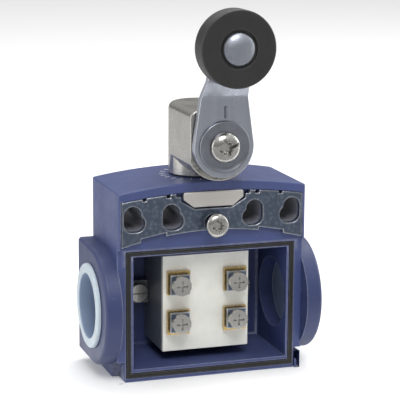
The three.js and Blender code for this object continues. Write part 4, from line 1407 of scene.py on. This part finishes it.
class SWITCH_OT_roller(bpy.types.Operator):
    """Roller on its riveted pin, with the spacer behind it"""

    bl_idname = "switch.roller"
    bl_label = "Roller and rivet"

    def execute(self, context):
        edge = sizes_of(context)["roller_edge"]
        axle = (0, 0, ROLLER_Z)
        front, rear, rim = ROLLER_LOW.y, ROLLER_HIGH.y, ROLLER_HIGH.x
        quarter = [math.pi / 2 * i / 6 for i in range(7)]
        tyre = [
            (2.3, rear),
            (8.2, rear),
            *[(rim - edge + edge * math.sin(t), rear - edge + edge * math.cos(t)) for t in quarter],
            *[(rim - edge + edge * math.cos(t), front + edge - edge * math.sin(t)) for t in quarter],
            (8.0, front),
            (5.2, front + 0.12),
            (4.75, front + 0.16),
            (4.6, front + 0.35),
            (4.6, front + 0.9),
            (2.3, front + 0.9),
        ]
        roller = shade(turned("roller_tyre", tyre, axle, Y_AXIS, 128), 40)
        finish(roller, "roller", "black_plastic", "black_plastic", "roller")
        low, high = RIVET_LOW.y, RIVET_HIGH.y
        turns = [math.pi / 2 * i / 10 for i in range(11)]
        dome = [(4.0 * math.sin(t), low + 1.62 * (1 - math.cos(t))) for t in turns]
        shank = [(3.85, -27.4), (2.0, -27.4), (2.0, -18.7), (3.2, -18.7), (3.2, -18.1)]
        pin = [*dome, *shank, (2.4, high), (0, high)]
        rivet = turned("roller_rivet_pin", pin, axle, Y_AXIS)
        shade(rivet, 40)
        finish(rivet, "lever", "satin_steel", "rivet_steel", "roller_rivet")
        ring = [(2.2, -22.15), (3.3, -22.15), (3.4, -22.05), (3.4, -21.5), (3.3, -21.4), (2.2, -21.4)]
        spacer = shade(turned("roller_spacer_ring", ring, axle, Y_AXIS), 40)
        finish(spacer, "lever", "satin_steel", "rivet_steel", "roller_spacer")
        return {"FINISHED"}


# ---------------------------------------------------------------- inner parts, stage and panel


class SWITCH_OT_inner_parts(bpy.types.Operator):
    """Give every CAD node that stays visible its material"""

    bl_idname = "switch.inner_parts"
    bl_label = "Inner parts"

    def execute(self, context):
        slots = {part["node"]: part["material_slot"] for part in frame["record"]["subparts"]}
        for name, node in frame["nodes"].items():
            node.data.materials.clear()
            node.data.materials.append(finish_named(slots[name]))
        return {"FINISHED"}


CAMERA_AZIMUTH = math.radians(-18.45)
CAMERA_ELEVATION = math.radians(11.78)
CAMERA_ROLL = math.radians(0.36)
CAMERA_TARGET = Vector((-0.25, 0, 44.11)) * MM
CAMERA_DISTANCE = 420.07 * MM
CAMERA_LENS = 147.72


def add_camera(context):
    azimuth, elevation = CAMERA_AZIMUTH, CAMERA_ELEVATION
    reach = math.cos(elevation)
    back = Vector((math.sin(azimuth) * reach, -math.cos(azimuth) * reach, math.sin(elevation)))
    level = Vector((math.cos(azimuth), math.sin(azimuth), 0))
    upright = back.cross(level)
    right = level * math.cos(CAMERA_ROLL) + upright * math.sin(CAMERA_ROLL)
    up = upright * math.cos(CAMERA_ROLL) - level * math.sin(CAMERA_ROLL)
    bpy.ops.object.camera_add()
    camera = context.object
    camera.name = "camera"
    place = Matrix((right, up, back)).transposed().to_4x4()
    place.translation = CAMERA_TARGET + back * CAMERA_DISTANCE
    camera.matrix_world = place
    camera.data.lens = CAMERA_LENS
    camera.data.clip_end = 50
    context.scene.camera = camera


def add_lamp(name, place, aim, size, power):
    """A square soft light at a point in metres, aimed at another."""
    bpy.ops.object.light_add(type="AREA", location=place)
    lamp = bpy.context.object
    lamp.name = name
    lamp.data.size = size
    lamp.data.energy = power
    lamp.rotation_euler = (Vector(aim) - Vector(place)).to_track_quat("-Z", "Y").to_euler()
    return lamp


LAMPS = (
    ("light_left", (-0.7, 0.15, 0.25), 0.45, 1.5),
    ("light_right", (0.75, 0.1, 0.3), 0.45, 2.0),
    ("light_top", (0.25, 0.2, 0.9), 0.6, 4.0),
    ("light_high_front", (-0.1, -0.6, 0.75), 0.4, 4.2),
)


# Grey cards on the floor that only reflections see, so that bright metal has something darker to mirror.
CARDS = (
    ("front_card", 1.0, (-0.1, -0.535, 0.002), 0.3),
    ("rear_card", 0.8, (-0.25, 0.46, 0.002), 0.5),
)


def add_studio_world(context):
    """Soft surroundings: brightest overhead, less so on the right, and dimmest in front and on the left."""
    world = bpy.data.worlds.new("studio")
    world.use_nodes = True
    tree = world.node_tree
    split = tree.nodes.new("ShaderNodeSeparateXYZ")
    tree.links.new(tree.nodes.new("ShaderNodeTexCoord").outputs["Generated"], split.inputs[0])
    overhead = spread(tree, split.outputs["Z"], 0.1, 0.8, 0.0, 0.55)
    right = spread(tree, split.outputs["X"], 0.3, 1.0, 0.0, 0.15)
    total = maths(tree, "ADD", maths(tree, "ADD", overhead, right), 0.19)
    tree.links.new(total, tree.nodes["Background"].inputs["Strength"])
    tree.nodes["Background"].inputs["Color"].default_value = (1, 1, 1, 1)
    context.scene.world = world


class SWITCH_OT_stage(bpy.types.Operator):
    """Pale floor, soft studio light and the camera"""

    bl_idname = "switch.stage"
    bl_label = "Stage"

    def execute(self, context):
        deselect_all()
        bpy.ops.mesh.primitive_plane_add(size=12, location=(0, 0, 0))
        floor = context.object
        floor.name = "studio_floor"
        tone = tuple(context.scene.switch_colours.floor)
        paper = Finish("floor_paper", tone, 0.9)
        paper.tint(noise(paper.tree, object_place(paper.tree), 40.0), lighter(tone, 0.3), 0.3)
        paper.constant("Emission Color", (1.0, 1.0, 1.0, 1.0)).constant("Emission Strength", 0.14)
        floor.data.materials.append(paper.material)
        for name, size, place, tone in CARDS:
            bpy.ops.mesh.primitive_plane_add(size=size, location=place)
            card = context.object
            card.name = name
            card.data.materials.append(Finish(name, (tone, tone, tone), 0.9).material)
            card.visible_camera = False
            card.visible_shadow = False
            card.visible_diffuse = False
        middle = (0, 0, 0.045)
        for name, place, size, power in LAMPS:
            add_lamp(name, place, middle, size, power)
        add_studio_world(context)
        add_camera(context)
        context.scene.view_settings.view_transform = "Standard"
        return {"FINISHED"}


OPERATORS = (
    SWITCH_OT_finishes,
    SWITCH_OT_housing,
    SWITCH_OT_scale_marks,
    SWITCH_OT_cover,
    SWITCH_OT_cover_screw,
    SWITCH_OT_fixing_plate,
    SWITCH_OT_bracket,
    SWITCH_OT_plugs,
    SWITCH_OT_head,
    SWITCH_OT_serrations,
    SWITCH_OT_lever,
    SWITCH_OT_lever_screw,
    SWITCH_OT_roller,
    SWITCH_OT_inner_parts,
    SWITCH_OT_stage,
)


class SWITCH_PT_panel(bpy.types.Panel):
    """Steps that build the limit switch"""

    bl_idname = "SWITCH_PT_panel"
    bl_label = "Limit Switch"
    bl_space_type = "VIEW_3D"
    bl_region_type = "UI"
    bl_category = "Limit Switch"

    def draw(self, context):
        for group in (context.scene.switch_sizes, context.scene.switch_colours):
            box = self.layout.box()
            for key in type(group).__annotations__:
                box.prop(group, key)
        for operator in OPERATORS:
            self.layout.operator(operator.bl_idname)


CLASSES = (SwitchSizes, SwitchColours, *OPERATORS, SWITCH_PT_panel)


def register():
    for cls in CLASSES:
        bpy.utils.register_class(cls)
    bpy.types.Scene.switch_sizes = PointerProperty(type=SwitchSizes)
    bpy.types.Scene.switch_colours = PointerProperty(type=SwitchColours)


def unregister():
    del bpy.types.Scene.switch_colours
    del bpy.types.Scene.switch_sizes
    for cls in reversed(CLASSES):
        bpy.utils.unregister_class(cls)


def main():
    register()
    deselect_all()
    for operator in OPERATORS:
        step = operator.bl_idname.split(".")[1]
        getattr(bpy.ops.switch, step)()


if __name__ == "__main__":
    main()
